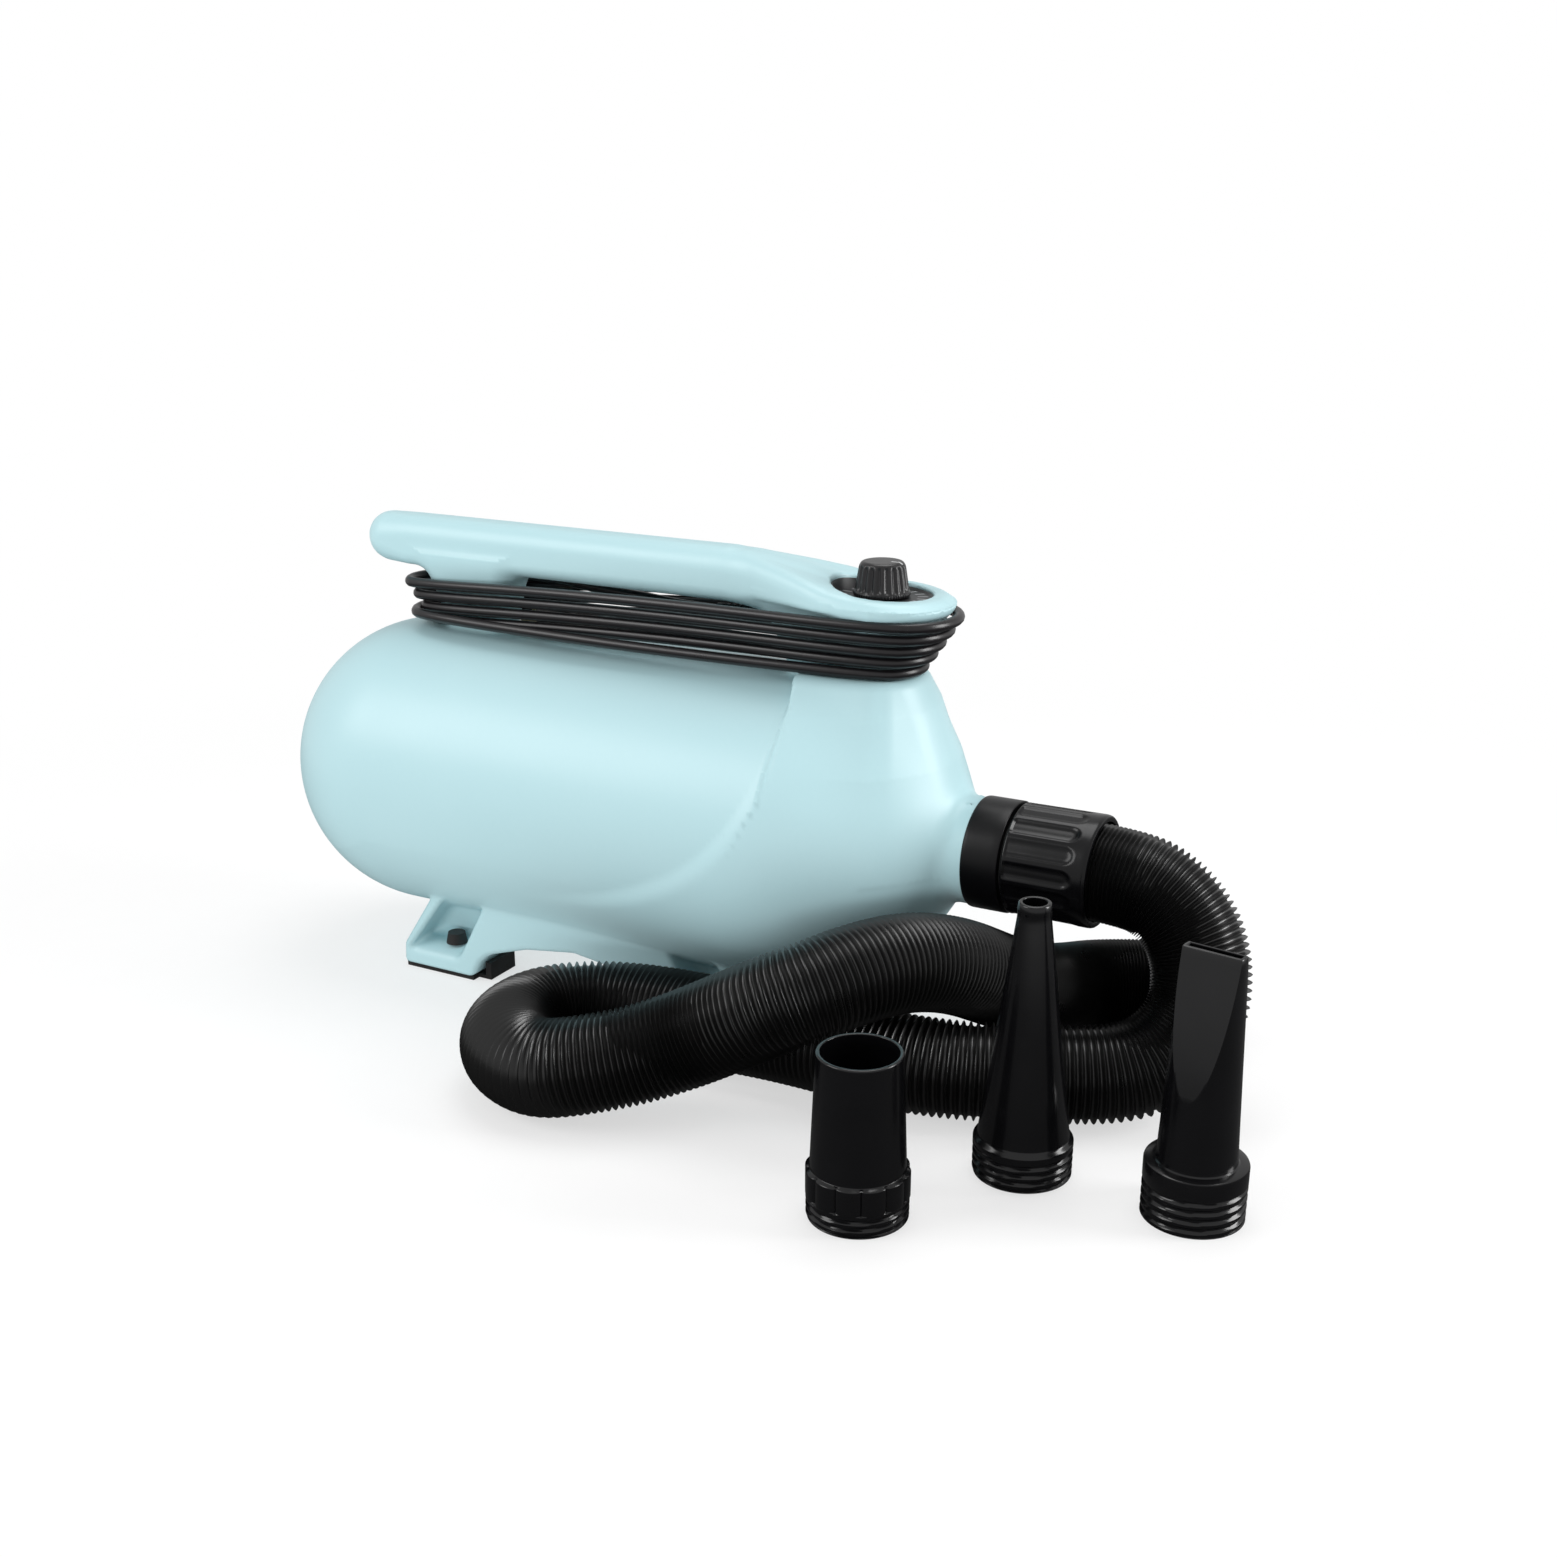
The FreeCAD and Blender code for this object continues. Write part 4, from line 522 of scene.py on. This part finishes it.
cuff_outline = softened(cuff_corners, [0.3, 1.0, 1.0, 0.4, 2.6, 0.8, 0.3, 0.3, 0.3, 0.1])
cuff_start = hose_points[-1] - cuff_overlap * cuff_way
cuff = wrapped("end_cuff", turned(filled(cuff_outline, 5), cuff_start, cuff_way, 120))
stand_in(cuff, grip_black, "hose_end_cuff")


# Loose nozzles. Each stands upright on its threaded foot: a short one with a band of twelve bulging grip
# panels, a long cone with a lip, and a flat one pared from a round tube to a slit by two sloping planes.
short_place = (267, -199, 0)
cone_place = (323.5, -118.5, 0)
flat_place = (415, -118, 0)
flat_turn = math.radians(-9)
upright = (0, 0, 1)


def screw_thread(far, radius, turn, height, count):
    """Depth of the root between the ridges of a thread that climbs from the floor to the height."""
    rise = (far * count / height - turn / (2 * np.pi)) % 1
    root = np.clip((np.abs(2 * rise - 1) - 0.3) / 0.45, 0, 1)
    ends = np.clip(far / 0.8, 0, 1) * np.clip((height - far) / 0.8, 0, 1)
    return np.where(radius > 25, 1.35 * root * ends, 0)


def short_relief(far, radius, turn):
    """Thread of the short nozzle, and how far each grip panel falls away from its middle to its joint."""
    panel = np.abs((turn * 12 / (2 * np.pi)) % 1 - 0.5) * 2
    band = np.clip((far - 12.6) / 0.4, 0, 1) * np.clip((28 - far) / 0.4, 0, 1) * (radius > 25.3)
    fall = 1.15 * panel ** 2.4 + 0.5 * np.clip(panel * 9 - 8, 0, 1)
    return screw_thread(far, radius, turn, 12.2, 3) + band * fall


def cone_relief(far, radius, turn):
    """Thread of the cone nozzle."""
    return screw_thread(far, radius, turn, 17.4, 4)


def slit_rows(levels, radii, halves):
    """Rows of a round tube with two flats: arcs at the slit's ends and straight runs between them."""
    reach = np.arcsin(np.clip(halves / radii, 0, 1))[:, None]
    arc = np.linspace(-1, 1, 40, endpoint=False)
    run = np.linspace(1, -1, 18, endpoint=False)
    x_arc = radii[:, None] * np.cos(arc * reach)
    y_arc = radii[:, None] * np.sin(arc * reach)
    x_run = radii[:, None] * np.cos(reach) * run
    y_run = radii[:, None] * np.sin(reach) * np.ones(run.size)
    x = np.concatenate([x_arc, x_run, -x_arc, -x_run], axis=1)
    y = np.concatenate([y_arc, y_run, -y_arc, -y_run], axis=1)
    return np.stack([x, y, levels[:, None] * np.ones(x.shape[1])], axis=-1)


def flat_nozzle_grid():
    """The flat nozzle about the origin: threaded foot, flange, pared tube and slit, then the same inside.
    Rows are (level, radius) points, and the half width between the flats shrinks evenly with the level."""
    foot = [(z, 26.2) for z in np.arange(0, 20.2, 0.45)]
    foot += [(20.6, 26.2), (29.4, 26.2), (30.3, 25.9), (30.6, 25.2), (30.8, 21.2), (31.4, 20.4), (33, 20.15)]
    share = np.linspace(0, 1, 46) ** 1.5
    tube = np.c_[48 + 94.3 * share, 20.2 - 4.4 * (18 + 94.3 * share) / 113]
    outer = np.concatenate([foot, tube, [(142.8, 15.6), (143, 15.2)]])
    inner = np.concatenate([[(143, 14.2), (142.6, 13.8)], tube[::-1] - (0, 2.2), [(31, 18), (0, 18)]])
    outer_half = 20.1 - 16.85 * np.clip((outer[:, 0] - 62) / 81, 0, 1)
    outer_half = np.where(outer[:, 0] < 62, outer[:, 1], outer_half)
    outer_half -= np.clip(outer[:, 0] - 142.4, 0, 1) * 0.5
    inner_half = 18.5 - 16.57 * np.clip((inner[:, 0] - 54) / 89, 0, 1)
    inner_half = np.where(inner[:, 0] < 54, inner[:, 1], inner_half)
    inner_half += np.clip(inner[:, 0] - 142.4, 0, 1) * 0.5
    rows = slit_rows(*np.concatenate([outer, inner]).T, np.concatenate([outer_half, inner_half]))
    turn = np.arctan2(rows[..., 1], rows[..., 0])
    radius = np.hypot(rows[..., 0], rows[..., 1])
    keep = 1 - screw_thread(rows[..., 2], radius, turn, 20.2, 4) / np.maximum(radius, 1)
    return rows * np.stack([keep, keep, np.ones_like(keep)], axis=-1)


gloss_black = sheath("gloss_black", (0.0025, 0.0025, 0.003), 0.18, 500, 0.003)
short_corners = [(0, 22.2), (0, 26.1), (12.4, 26.2), (12.9, 26.7), (26.4, 26.7), (27.6, 24.4), (90, 21.8),
                 (90, 19.6), (28, 22.6)]
short_outline = softened(short_corners, [0.3, 0.9, 0.2, 0.3, 0.5, 0.3, 0.9, 0.6, 3])
short_grid = turned(filled(short_outline, 1.6, 12.4), short_place, upright, 240, short_relief)
stand_in(wrapped("short_nozzle", short_grid, 30), gloss_black, "nozzle_short", "short_nozzle")
cone_corners = [(0, 22), (0, 26.1), (17.6, 26.2), (19.9, 26.2), (22.0, 24.0), (144.5, 8.5), (147.5, 8.9),
                (151, 8.3), (151, 6.2), (20, 22)]
cone_outline = softened(cone_corners, [0.3, 0.9, 0.2, 0.6, 0.9, 3, 1.5, 0.9, 0.6, 3])
cone_grid = turned(filled(cone_outline, 5, 17.6), cone_place, upright, 180, cone_relief)
stand_in(wrapped("cone_nozzle", cone_grid, 30), gloss_black, "nozzle_cone", "cone_nozzle")
flat_cos, flat_sin = math.cos(flat_turn), math.sin(flat_turn)
flat_grid = flat_nozzle_grid() @ np.array([(flat_cos, flat_sin, 0), (-flat_sin, flat_cos, 0), upright])
flat_nozzle = wrapped("flat_nozzle", flat_grid + flat_place, 30)
stand_in(flat_nozzle, gloss_black, "nozzle_flat", "flat_nozzle")


# Speed knob and dial. The tapered knob has twenty rounded ribs, a plain skirt with a fine serrated rim and
# a pale pointer line on its top. The dial under it is an oval dish with pale strokes round its edge.
knob_middle = 180
dial_length, dial_width = 29.35, 25.85


def knob_ribs(far, radius, turn):
    """Depth between the knob's upright ribs and between the small teeth of its rim."""
    hollow = (0.5 + 0.5 * np.cos(turn * 20)) ** 1.3
    tall = np.clip((far - 3.6) / 1.2, 0, 1) * np.clip((18.4 - far) / 1.6, 0, 1) * (radius > 10)
    teeth = (0.5 + 0.5 * np.cos(turn * 60)) * (np.abs(far - 1.9) < 0.9) * (radius > 15)
    return 1.15 * tall * hollow + 0.35 * teeth


def near_to(value, middle, half, edge):
    """1 where a value lies within half of the middle, 0 outside, with a narrow soft edge."""
    gap = value.finish.node("Math", {"operation": "ABSOLUTE"}, [value - middle])
    return value.finish.node("MapRange", {}, {0: gap, 1: half + edge, 2: half})


knob_corners = [(1, 8.5), (1, 16.2), (2.8, 16.2), (3.9, 15.4), (17.8, 13.1), (20, 11.4), (20, 0.01),
                (18, 0.01), (17, 8.0)]
knob_outline = softened(knob_corners, [0.2, 0.5, 0.5, 0.5, 1.5, 1.5, 0.01, 0.01, 0.5])
knob_grid = turned(filled(knob_outline, 0.9), (knob_middle, 0, 268), upright, 300, knob_ribs)
knob_finish = Finish("knob_black", Specular_IOR_Level=0.5)
knob_x, knob_y, knob_z = (knob_finish.node("SeparateXYZ", {}, [knob_finish.place()], k) for k in range(3))
pointer = near_to(knob_y, 0, 0.0006, 0.0001) * near_to(knob_x, 0.1895, 0.0040, 0.0002)
pointer = pointer * near_to(knob_z, 0.288, 0.001, 0.0002)
knob_tone = knob_finish.mixed(knob_finish.noise(80), (0.006, 0.006, 0.007), (0.013, 0.012, 0.013))
knob_finish.set(Base_Color=knob_finish.mixed(pointer, knob_tone, (0.55, 0.56, 0.56)),
                Roughness=knob_finish.noise(30, 4) * 0.16 + 0.2,
                Normal=knob_finish.bumped(knob_finish.noise(1000), 0.25, 0.02))
stand_in(wrapped("ribbed_knob", knob_grid, 30), knob_finish.material, "speed_knob", "knob")

dial_finish = Finish("dial_black", Specular_IOR_Level=0.45)
dial_x, dial_y, _ = (dial_finish.node("SeparateXYZ", {}, [dial_finish.place()], k) for k in range(3))
dial_x = (dial_x - 0.180) * (1 / 0.0295)
dial_y = dial_y * (1 / 0.026)
dial_reach = dial_finish.node("Math", {"operation": "SQRT"}, [dial_x * dial_x + dial_y * dial_y])
dial_turn = dial_finish.node("Math", {"operation": "ARCTAN2"}, [dial_y, dial_x]) * (20 / (2 * math.pi))
dial_turn = dial_finish.node("Math", {"operation": "FRACT"}, [dial_turn + 20])
strokes = near_to(dial_turn, 0.5, 0.09, 0.03) * near_to(dial_reach, 0.80, 0.09, 0.02)
dial_tone = dial_finish.mixed(dial_finish.noise(150), (0.010, 0.010, 0.011), (0.018, 0.018, 0.019))
dial_finish.set(Base_Color=dial_finish.mixed(strokes * 0.8, dial_tone, (0.42, 0.43, 0.44)),
                Roughness=dial_finish.noise(90) * 0.12 + 0.34)

# The dish's rim, at the levels given as None, follows the slope of the platform that it lies in.
round_the_dial = 96
dial_turns = np.linspace(0, 2 * np.pi, round_the_dial, endpoint=False)
along_x, along_y = dial_length * np.cos(dial_turns), dial_width * np.sin(dial_turns)
rim_places, rim_heights = (150, 160, 175, 200, 221), (274.9, 272.9, 270.9, 269.4, 268.8)
rim_z = np.interp(knob_middle + along_x, rim_places, rim_heights) - 0.9 * (along_y / 26) ** 2
dial_levels = [(1, 266.1), (1, None), (0.97, None), (0.94, 268.2), (0.93, 268), (0.17, 268), (0.17, 266.1)]
dial_rings = []
for reach, level in dial_levels:
    ring_z = rim_z if level is None else np.full(round_the_dial, level)
    dial_rings.append(np.stack([knob_middle + reach * along_x, reach * along_y, ring_z], axis=-1))
stand_in(wrapped("dial_dish", np.stack(dial_rings), 30), dial_finish.material, "dial_plate")


# Housing. The two satin shells are one soft-edged form: a tank with a domed back, a proud front whose
# edge sweeps down in a curve, shoulder, post, column, grip, keyhole platform and a skirt with four feet.
# It is a field of distances in millimetres, whose zero surface becomes a mesh parted along the middle.
axis_height = 127.0
wall = 3.0
seam_gap = 0.25
platform_middle = 185.5
screw_places = [(-165, 272.6, 11), (-20, 272.6, 11), (72, 272.6, 11), (-108, 238, 9.5), (-88, 12, 32),
                (88, 12, 32)]


def merged(a, b, soft):
    """Union of two forms: the smaller distance, less a soft fillet where the two are nearly the same."""
    close = np.maximum(soft - np.abs(a - b), 0)
    return np.minimum(a, b) - close * close / (4 * soft)


def common(a, b, soft):
    """What two forms share: the greater distance, with the new edge softened."""
    return -merged(-a, -b, soft)


def beyond(across, along, start, end):
    """Distance outside the straight side that joins two (along, across) points."""
    (a0, c0), (a1, c1) = start, end
    run, rise = a1 - a0, c1 - c0
    return (run * (across - c0) - rise * (along - a0)) / np.hypot(run, rise)


def tank_field(x, y, z):
    """Tank: a cylinder about the blower's line with a ball for its back, cut off inside the nose."""
    across = np.hypot(y, z - axis_height)
    front_end = np.interp(z, (110, 165), (118, 146.5))
    return np.maximum(np.hypot(np.minimum(x + 138, 0), across) - 94, x - front_end)


def nose_field(x, y, z):
    """Turned front: proud band, two slopes and the spigot that carries the black adapter."""
    across = np.hypot(y, z - axis_height)
    body = common(beyond(across, x, (9, 94), (60, 97)), across - 97, 1.5)
    body = common(body, beyond(across, x, (150, 97), (212, 63.5)), 14)
    body = common(body, beyond(across, x, (212, 63.5), (233, 31)), 9)
    body = merged(body, np.maximum(across - 31, x - 251), 6)
    return np.maximum(common(body, np.minimum(28 - across, x - 232), 0.6), -20 - x)


def shoulder_field(x, y, z):
    """Upper front, narrowing from the tank's width up to the ledge that the column stands on."""
    levels = (127, 177, 207, 225)
    back_x = np.interp(z, levels, (110, 114, 118, 120))
    back_y = np.interp(z, levels, (86, 78, 55, 38))
    side_x = np.interp(z, levels, (203, 204.5, 199.5, 193))
    side_y = np.interp(z, levels, (59, 52, 41, 31))
    tip_x = np.interp(z, levels, (233, 226.5, 215.5, 206))
    tip_y = np.interp(z, levels, (16, 14, 12, 12))
    flank = beyond(y, x, (back_x, back_y), (side_x, side_y))
    body = common(flank, beyond(y, x, (side_x, side_y), (tip_x, tip_y)), 8)
    body = common(body, x - tip_x, 6)
    return common(np.maximum(np.maximum(body, back_x - x), axis_height - z), z - 225, 5)


def sweep_field(x, z):
    """Distance outside the ellipse whose edge is the swept step."""
    u, v = (x + 31) / 178, (z - 197) / 112
    reach = np.sqrt(u * u + v * v) + 1e-6
    return (reach - 1) * reach / np.sqrt((u / 178) ** 2 + (v / 112) ** 2 + 1e-12)


def post_field(x, y, z):
    """Rear post: a rounded bar whose back and width draw in downwards."""
    share = (260 - z) / 53
    half = 15.5 - 2.5 * share
    middle = np.clip(x, -141 + 24 * share + half, -66 - 14 * share - half)
    return np.maximum(np.hypot(x - middle, y) - half, np.abs(z - 230) - 35)


def column_field(x, y, z):
    """Column under the knob: round in front, as narrow as the grip behind, tapered downwards."""
    share = (265 - z) / 43
    back, half, narrow = 109 + 18 * share, 34.5 - 15.5 * share, 16 - 3 * share
    center = 222.5 - 29 * share - half
    waist = back + (center - back) * 0.8
    grow = np.clip((x - back) / (waist - back), 0, 1)
    wedge = common(y - narrow - (half - narrow) * grow, back - x, 5)
    plan = merged(np.hypot(x - center, y) - half, np.maximum(wedge, x - center), 2)
    return np.maximum(plan, np.abs(z - 240) - 26)


def top_height(x):
    """Height of the grip's top, which falls to the platform's rim."""
    places = (84, 98, 112, 130, 147, 160, 175, 200, 221)
    heights = (288.2, 286.8, 284.4, 281.3, 277.8, 274.6, 272.2, 270.6, 269.8)
    return np.interp(x, places, heights)


def grip_field(x, y, z):
    """Grip: distance from a box in section, less its corner's radius, with a ball's rear tip."""
    across = np.hypot(np.minimum(x + 168, 0), y)
    up = z - top_height(x) + 15.6
    corner = np.interp(x, (-172, -150), (15.4, 9)) + np.where(up > 0, np.interp(x, (-172, -150), (0, 4)), 0)
    side, rise = across - 16 + corner, np.abs(up) - 15.6 + corner
    outside = np.hypot(np.maximum(side, 0), np.maximum(rise, 0))
    return np.maximum(outside + np.minimum(np.maximum(side, rise), 0) - corner, x - 160)


def platform_field(x, y, z):
    """Keyhole platform: its sides flare from the grip to a round front."""
    width = merged(16 + 0.336 * (x - 98), 35.5, 4)
    side = np.maximum(np.maximum(y - width, x - platform_middle), 86 - x)
    plan = np.minimum(side, np.hypot(x - platform_middle, y) - 35.5)
    rise = z - top_height(x) + 3 * np.clip((112 - x) / 26, 0, 1) ** 2
    return common(common(plan, rise, np.interp(x, (96, 150, 180), (12, 9, 7))), 262 - z, 4)


def skirt_field(x, y, z):
    """Skirt with an arch below, and a scalloped pocket between slanting pillars above each foot."""
    x = np.abs(x)
    edge = np.interp(z, (3, 16, 70), (136, 135.3, 99))
    body = common(common(x - edge, y - 60, 5), 3 - z, 2)
    arch = common(z - np.interp(x, (0, 37, 71), (35, 29.8, 19)), x - 79 + 0.5 * (z - 3), 8)
    pocket = common(beyond(x, -z, (-58, 96), (-14, 130)), -beyond(x, -z, (-58, 66), (-14, 90)), 5)
    floor_z = 19 - 0.03 * np.maximum(y - 44, 0) ** 2
    pocket = common(common(pocket, floor_z - z, 5), 37 - y, 7)
    return common(common(np.maximum(body, z - 70), -arch, 4), -pocket, 3)


def pits_field(x, y, z, screws):
    """What is sunk into the housing: filter seat, dial recess and, on the right half, screw holes."""
    across = np.hypot(y, z - axis_height)
    pits = np.minimum(np.maximum(across - 45.3, x + 216), np.maximum(across - 37.2, x + 204))
    oval = (np.hypot((x - knob_middle) / 29.5, y / 26) - 1) * 27
    pits = np.minimum(pits, np.maximum(oval, 266 - z))
    if screws:
        for place_x, place_z, seat_y in screw_places:
            pits = np.minimum(pits, np.maximum(np.hypot(x - place_x, z - place_z) - 3.9, seat_y - y))
    return pits


def housing_field(x, y, z, screws):
    """The whole housing: all forms merged, each with its own fillet, less what is sunk into it."""
    y = np.abs(y)
    front = merged(nose_field(x, y, z), shoulder_field(x, y, z), 12)
    front = common(front, -sweep_field(x, z), np.interp(z, (120, 165, 205), (13, 9, 2.5)))
    body = merged(tank_field(x, y, z), front, 3)
    body = merged(body, skirt_field(x, y, z), 3)
    top = merged(grip_field(x, y, z), platform_field(x, y, z), 3)
    top = merged(top, column_field(x, y, z), 4)
    top = merged(top, post_field(x, y, z), 8)
    return common(merged(body, top, 5), -pits_field(x, y, z, screws), 1.2)


def edge_cut(axis, near, far=None):
    """Index that takes a whole grid but for one end of the given axis."""
    cut = [slice(None)] * 3
    cut[axis] = slice(near, far)
    return tuple(cut)


def zero_surface(field, xs, ys, zs):
    """Points and faces where a field is zero. Each cell of the grid that the surface passes gets a point,
    the mean of the places where its edges are crossed, and each crossed edge a face between four cells."""
    spots = np.stack(np.meshgrid(xs, ys, zs, indexing="ij"))
    value = field(*spots)
    cells = np.array(value.shape) - 1
    total, count = np.zeros((3, *cells)), np.zeros(cells)
    crossings = []
    for axis in range(3):
        low, high = edge_cut(axis, None, -1), edge_cut(axis, 1)
        crossed = (value[low] < 0) != (value[high] < 0)
        share = np.where(crossed, value[low] / np.where(crossed, value[low] - value[high], 1), 0)
        place = spots[(slice(None), *low)] * (1 - share) + spots[(slice(None), *high)] * share
        place = np.where(crossed, place, 0)
        crossings.append(crossed)
        first, second = (axis + 1) % 3, (axis + 2) % 3
        for a in (0, 1):
            for b in (0, 1):
                cut = [slice(None)] * 3
                cut[first] = slice(a, a + cells[first])
                cut[second] = slice(b, b + cells[second])
                total += place[(slice(None), *cut)]
                count += crossed[tuple(cut)]
    used = count > 0
    number = np.full(cells, -1)
    number[used] = np.arange(used.sum())
    points = (total[:, used] / count[used]).T
    faces = []
    for axis, crossed in enumerate(crossings):
        first, second = (axis + 1) % 3, (axis + 2) % 3
        at = np.argwhere(crossed)
        at = at[(at[:, first] > 0) & (at[:, second] > 0)]
        at = at[(at[:, first] < cells[first]) & (at[:, second] < cells[second])]
        corners = []
        for a, b in ((1, 1), (0, 1), (0, 0), (1, 0)):
            cell = at.copy()
            cell[:, first] -= a
            cell[:, second] -= b
            corners.append(number[tuple(cell.T)])
        quads = np.stack(corners, axis=1)
        outward = value[tuple(at.T)] < 0
        quads[~outward] = quads[~outward][:, ::-1]
        faces.append(quads)
    return points, np.concatenate(faces)


def slope_of(field, points):
    """Direction in which a field grows at some points, and how fast."""
    slope = np.empty_like(points)
    for axis in range(3):
        step = np.zeros(3)
        step[axis] = 0.1
        slope[:, axis] = (field(*(points + step).T) - field(*(points - step).T)) / 0.2
    return slope


def half_housing(name, side):
    """One moulded shell, with its wall, on the side of the middle given by -1 or 1. The field's zero
    surface is drawn closer to it in four steps, copied inwards by the wall, and closed at its rim."""
    def field(x, y, z):
        return housing_field(x, y, z, screws=side > 0)

    xs = np.arange(-235, 256, 2.7)
    ys = np.r_[-0.3, 0.3, 1.1, np.arange(2.4, 62, 2.0), np.arange(62.6, 101, 2.9)]
    zs = np.r_[np.arange(1, 70, 1.7), np.arange(70, 206, 2.9), np.arange(206, 291, 1.6)]
    points, faces = zero_surface(field, xs, ys, zs)
    seam = points[:, 1] < 0.3
    points[seam, 1] = 0
    for _ in range(4):
        slope = slope_of(field, points)
        size = (slope ** 2).sum(axis=1)
        points -= slope * np.clip(field(*points.T) / np.maximum(size, 0.2), -1, 1)[:, None]
        points[seam, 1] = 0
    normals = slope_of(field, points)
    normals /= np.linalg.norm(normals, axis=1)[:, None] + 1e-9
    inner = points - wall * normals
    inner[seam, 1] = 0
    inner[:, 1] = np.maximum(inner[:, 1], 0)
    points[seam] -= seam_gap * normals[seam]
    ends = np.concatenate([faces, np.roll(faces, -1, axis=1)]).reshape(2, -1).T
    pairs = np.sort(ends, axis=1)
    _, place, times = np.unique(pairs, axis=0, return_index=True, return_counts=True)
    rim = ends[place[times == 1]]
    count = len(points)
    rim_faces = np.c_[rim[:, ::-1], rim + count]
    points = np.concatenate([points, inner]) * (1, side, 1) / 1000
    faces = np.concatenate([faces, faces[:, ::-1] + count, rim_faces])
    shading = np.concatenate([normals, -normals]) * (1, side, 1)
    mesh = bpy.data.meshes.new(name)
    mesh.from_pydata(points.tolist(), [], (faces if side > 0 else faces[:, ::-1]).tolist())
    mesh.shade_smooth()
    mesh.normals_split_custom_set_from_vertices(shading.tolist())
    half = bpy.data.objects.new(name, mesh)
    bpy.context.scene.collection.objects.link(half)
    return half


satin_finish = Finish("satin_shell", Specular_IOR_Level=0.5, Coat_Weight=0.15, Coat_Roughness=0.3)
satin_tone = satin_finish.mixed(satin_finish.noise(9), (0.430, 0.645, 0.685), (0.465, 0.675, 0.715))
satin_tone = satin_finish.mixed(satin_finish.noise(400) * 0.25, satin_tone, (0.39, 0.61, 0.65))
satin_gloss = satin_finish.noise(35, 4) * 0.10 + 0.36
satin_shell = satin_finish.set(Base_Color=satin_tone, Roughness=satin_gloss,
                               Normal=satin_finish.bumped(satin_finish.noise(1400), 0.15, 0.03))
for node, name, side in (("left_shell", "left_housing", -1), ("right_shell", "right_housing", 1)):
    half = dress(half_housing(name, side), satin_shell)
    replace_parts(half, node)
    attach(half, "base")
dress(frame["nodes"]["filter_cover"], satin_shell)


# Other CAD pieces, each with the finish of its material slot.
def plain_metal(name, color, roughness, per_metre):
    """Bare metal: faint cloudiness, a gloss that varies and a fine grain."""
    finish = Finish(name, Metallic=1.0)
    tone = finish.mixed(finish.noise(per_metre), [c * 0.85 for c in color], color)
    worn = finish.noise(per_metre * 3) * 0.15 + (roughness - 0.07)
    grain = finish.bumped(finish.noise(per_metre * 8), 0.2, 0.02)
    return finish.set(Base_Color=tone, Roughness=worn, Normal=grain)


finishes = {
    "foot_rubber": sheath("foot_rubber", (0.014, 0.013, 0.013), 0.6),
    "mount_rubber": sheath("mount_rubber", (0.02, 0.02, 0.02), 0.7),
    "foam": sheath("open_foam", (0.05, 0.05, 0.053), 0.95, 500, 1.0),
    "inner_plastic": sheath("inner_plastic", (0.05, 0.05, 0.05), 0.5),
    "carbon": sheath("carbon", (0.02, 0.02, 0.02), 0.5),
    "board": sheath("board_laminate", (0.05, 0.16, 0.08), 0.4),
    "capacitor": sheath("capacitor_film", (0.55, 0.42, 0.08), 0.3),
    "lead": sheath("lead_insulation", (0.03, 0.03, 0.03), 0.4),
    "screw": plain_metal("black_zinc", (0.10, 0.10, 0.11), 0.4, 300),
    "fan_metal": plain_metal("pressed_aluminium", (0.75, 0.76, 0.77), 0.35, 120),
    "steel": plain_metal("machined_steel", (0.58, 0.58, 0.59), 0.3, 200),
    "copper": plain_metal("enamelled_copper", (0.65, 0.30, 0.14), 0.3, 200),
    "plug_metal": plain_metal("plug_brass", (0.70, 0.60, 0.36), 0.25, 200),
}
for part in frame["record"]["subparts"]:
    if part["material_slot"] in finishes:
        dress(frame["nodes"][part["node"]], finishes[part["material_slot"]])
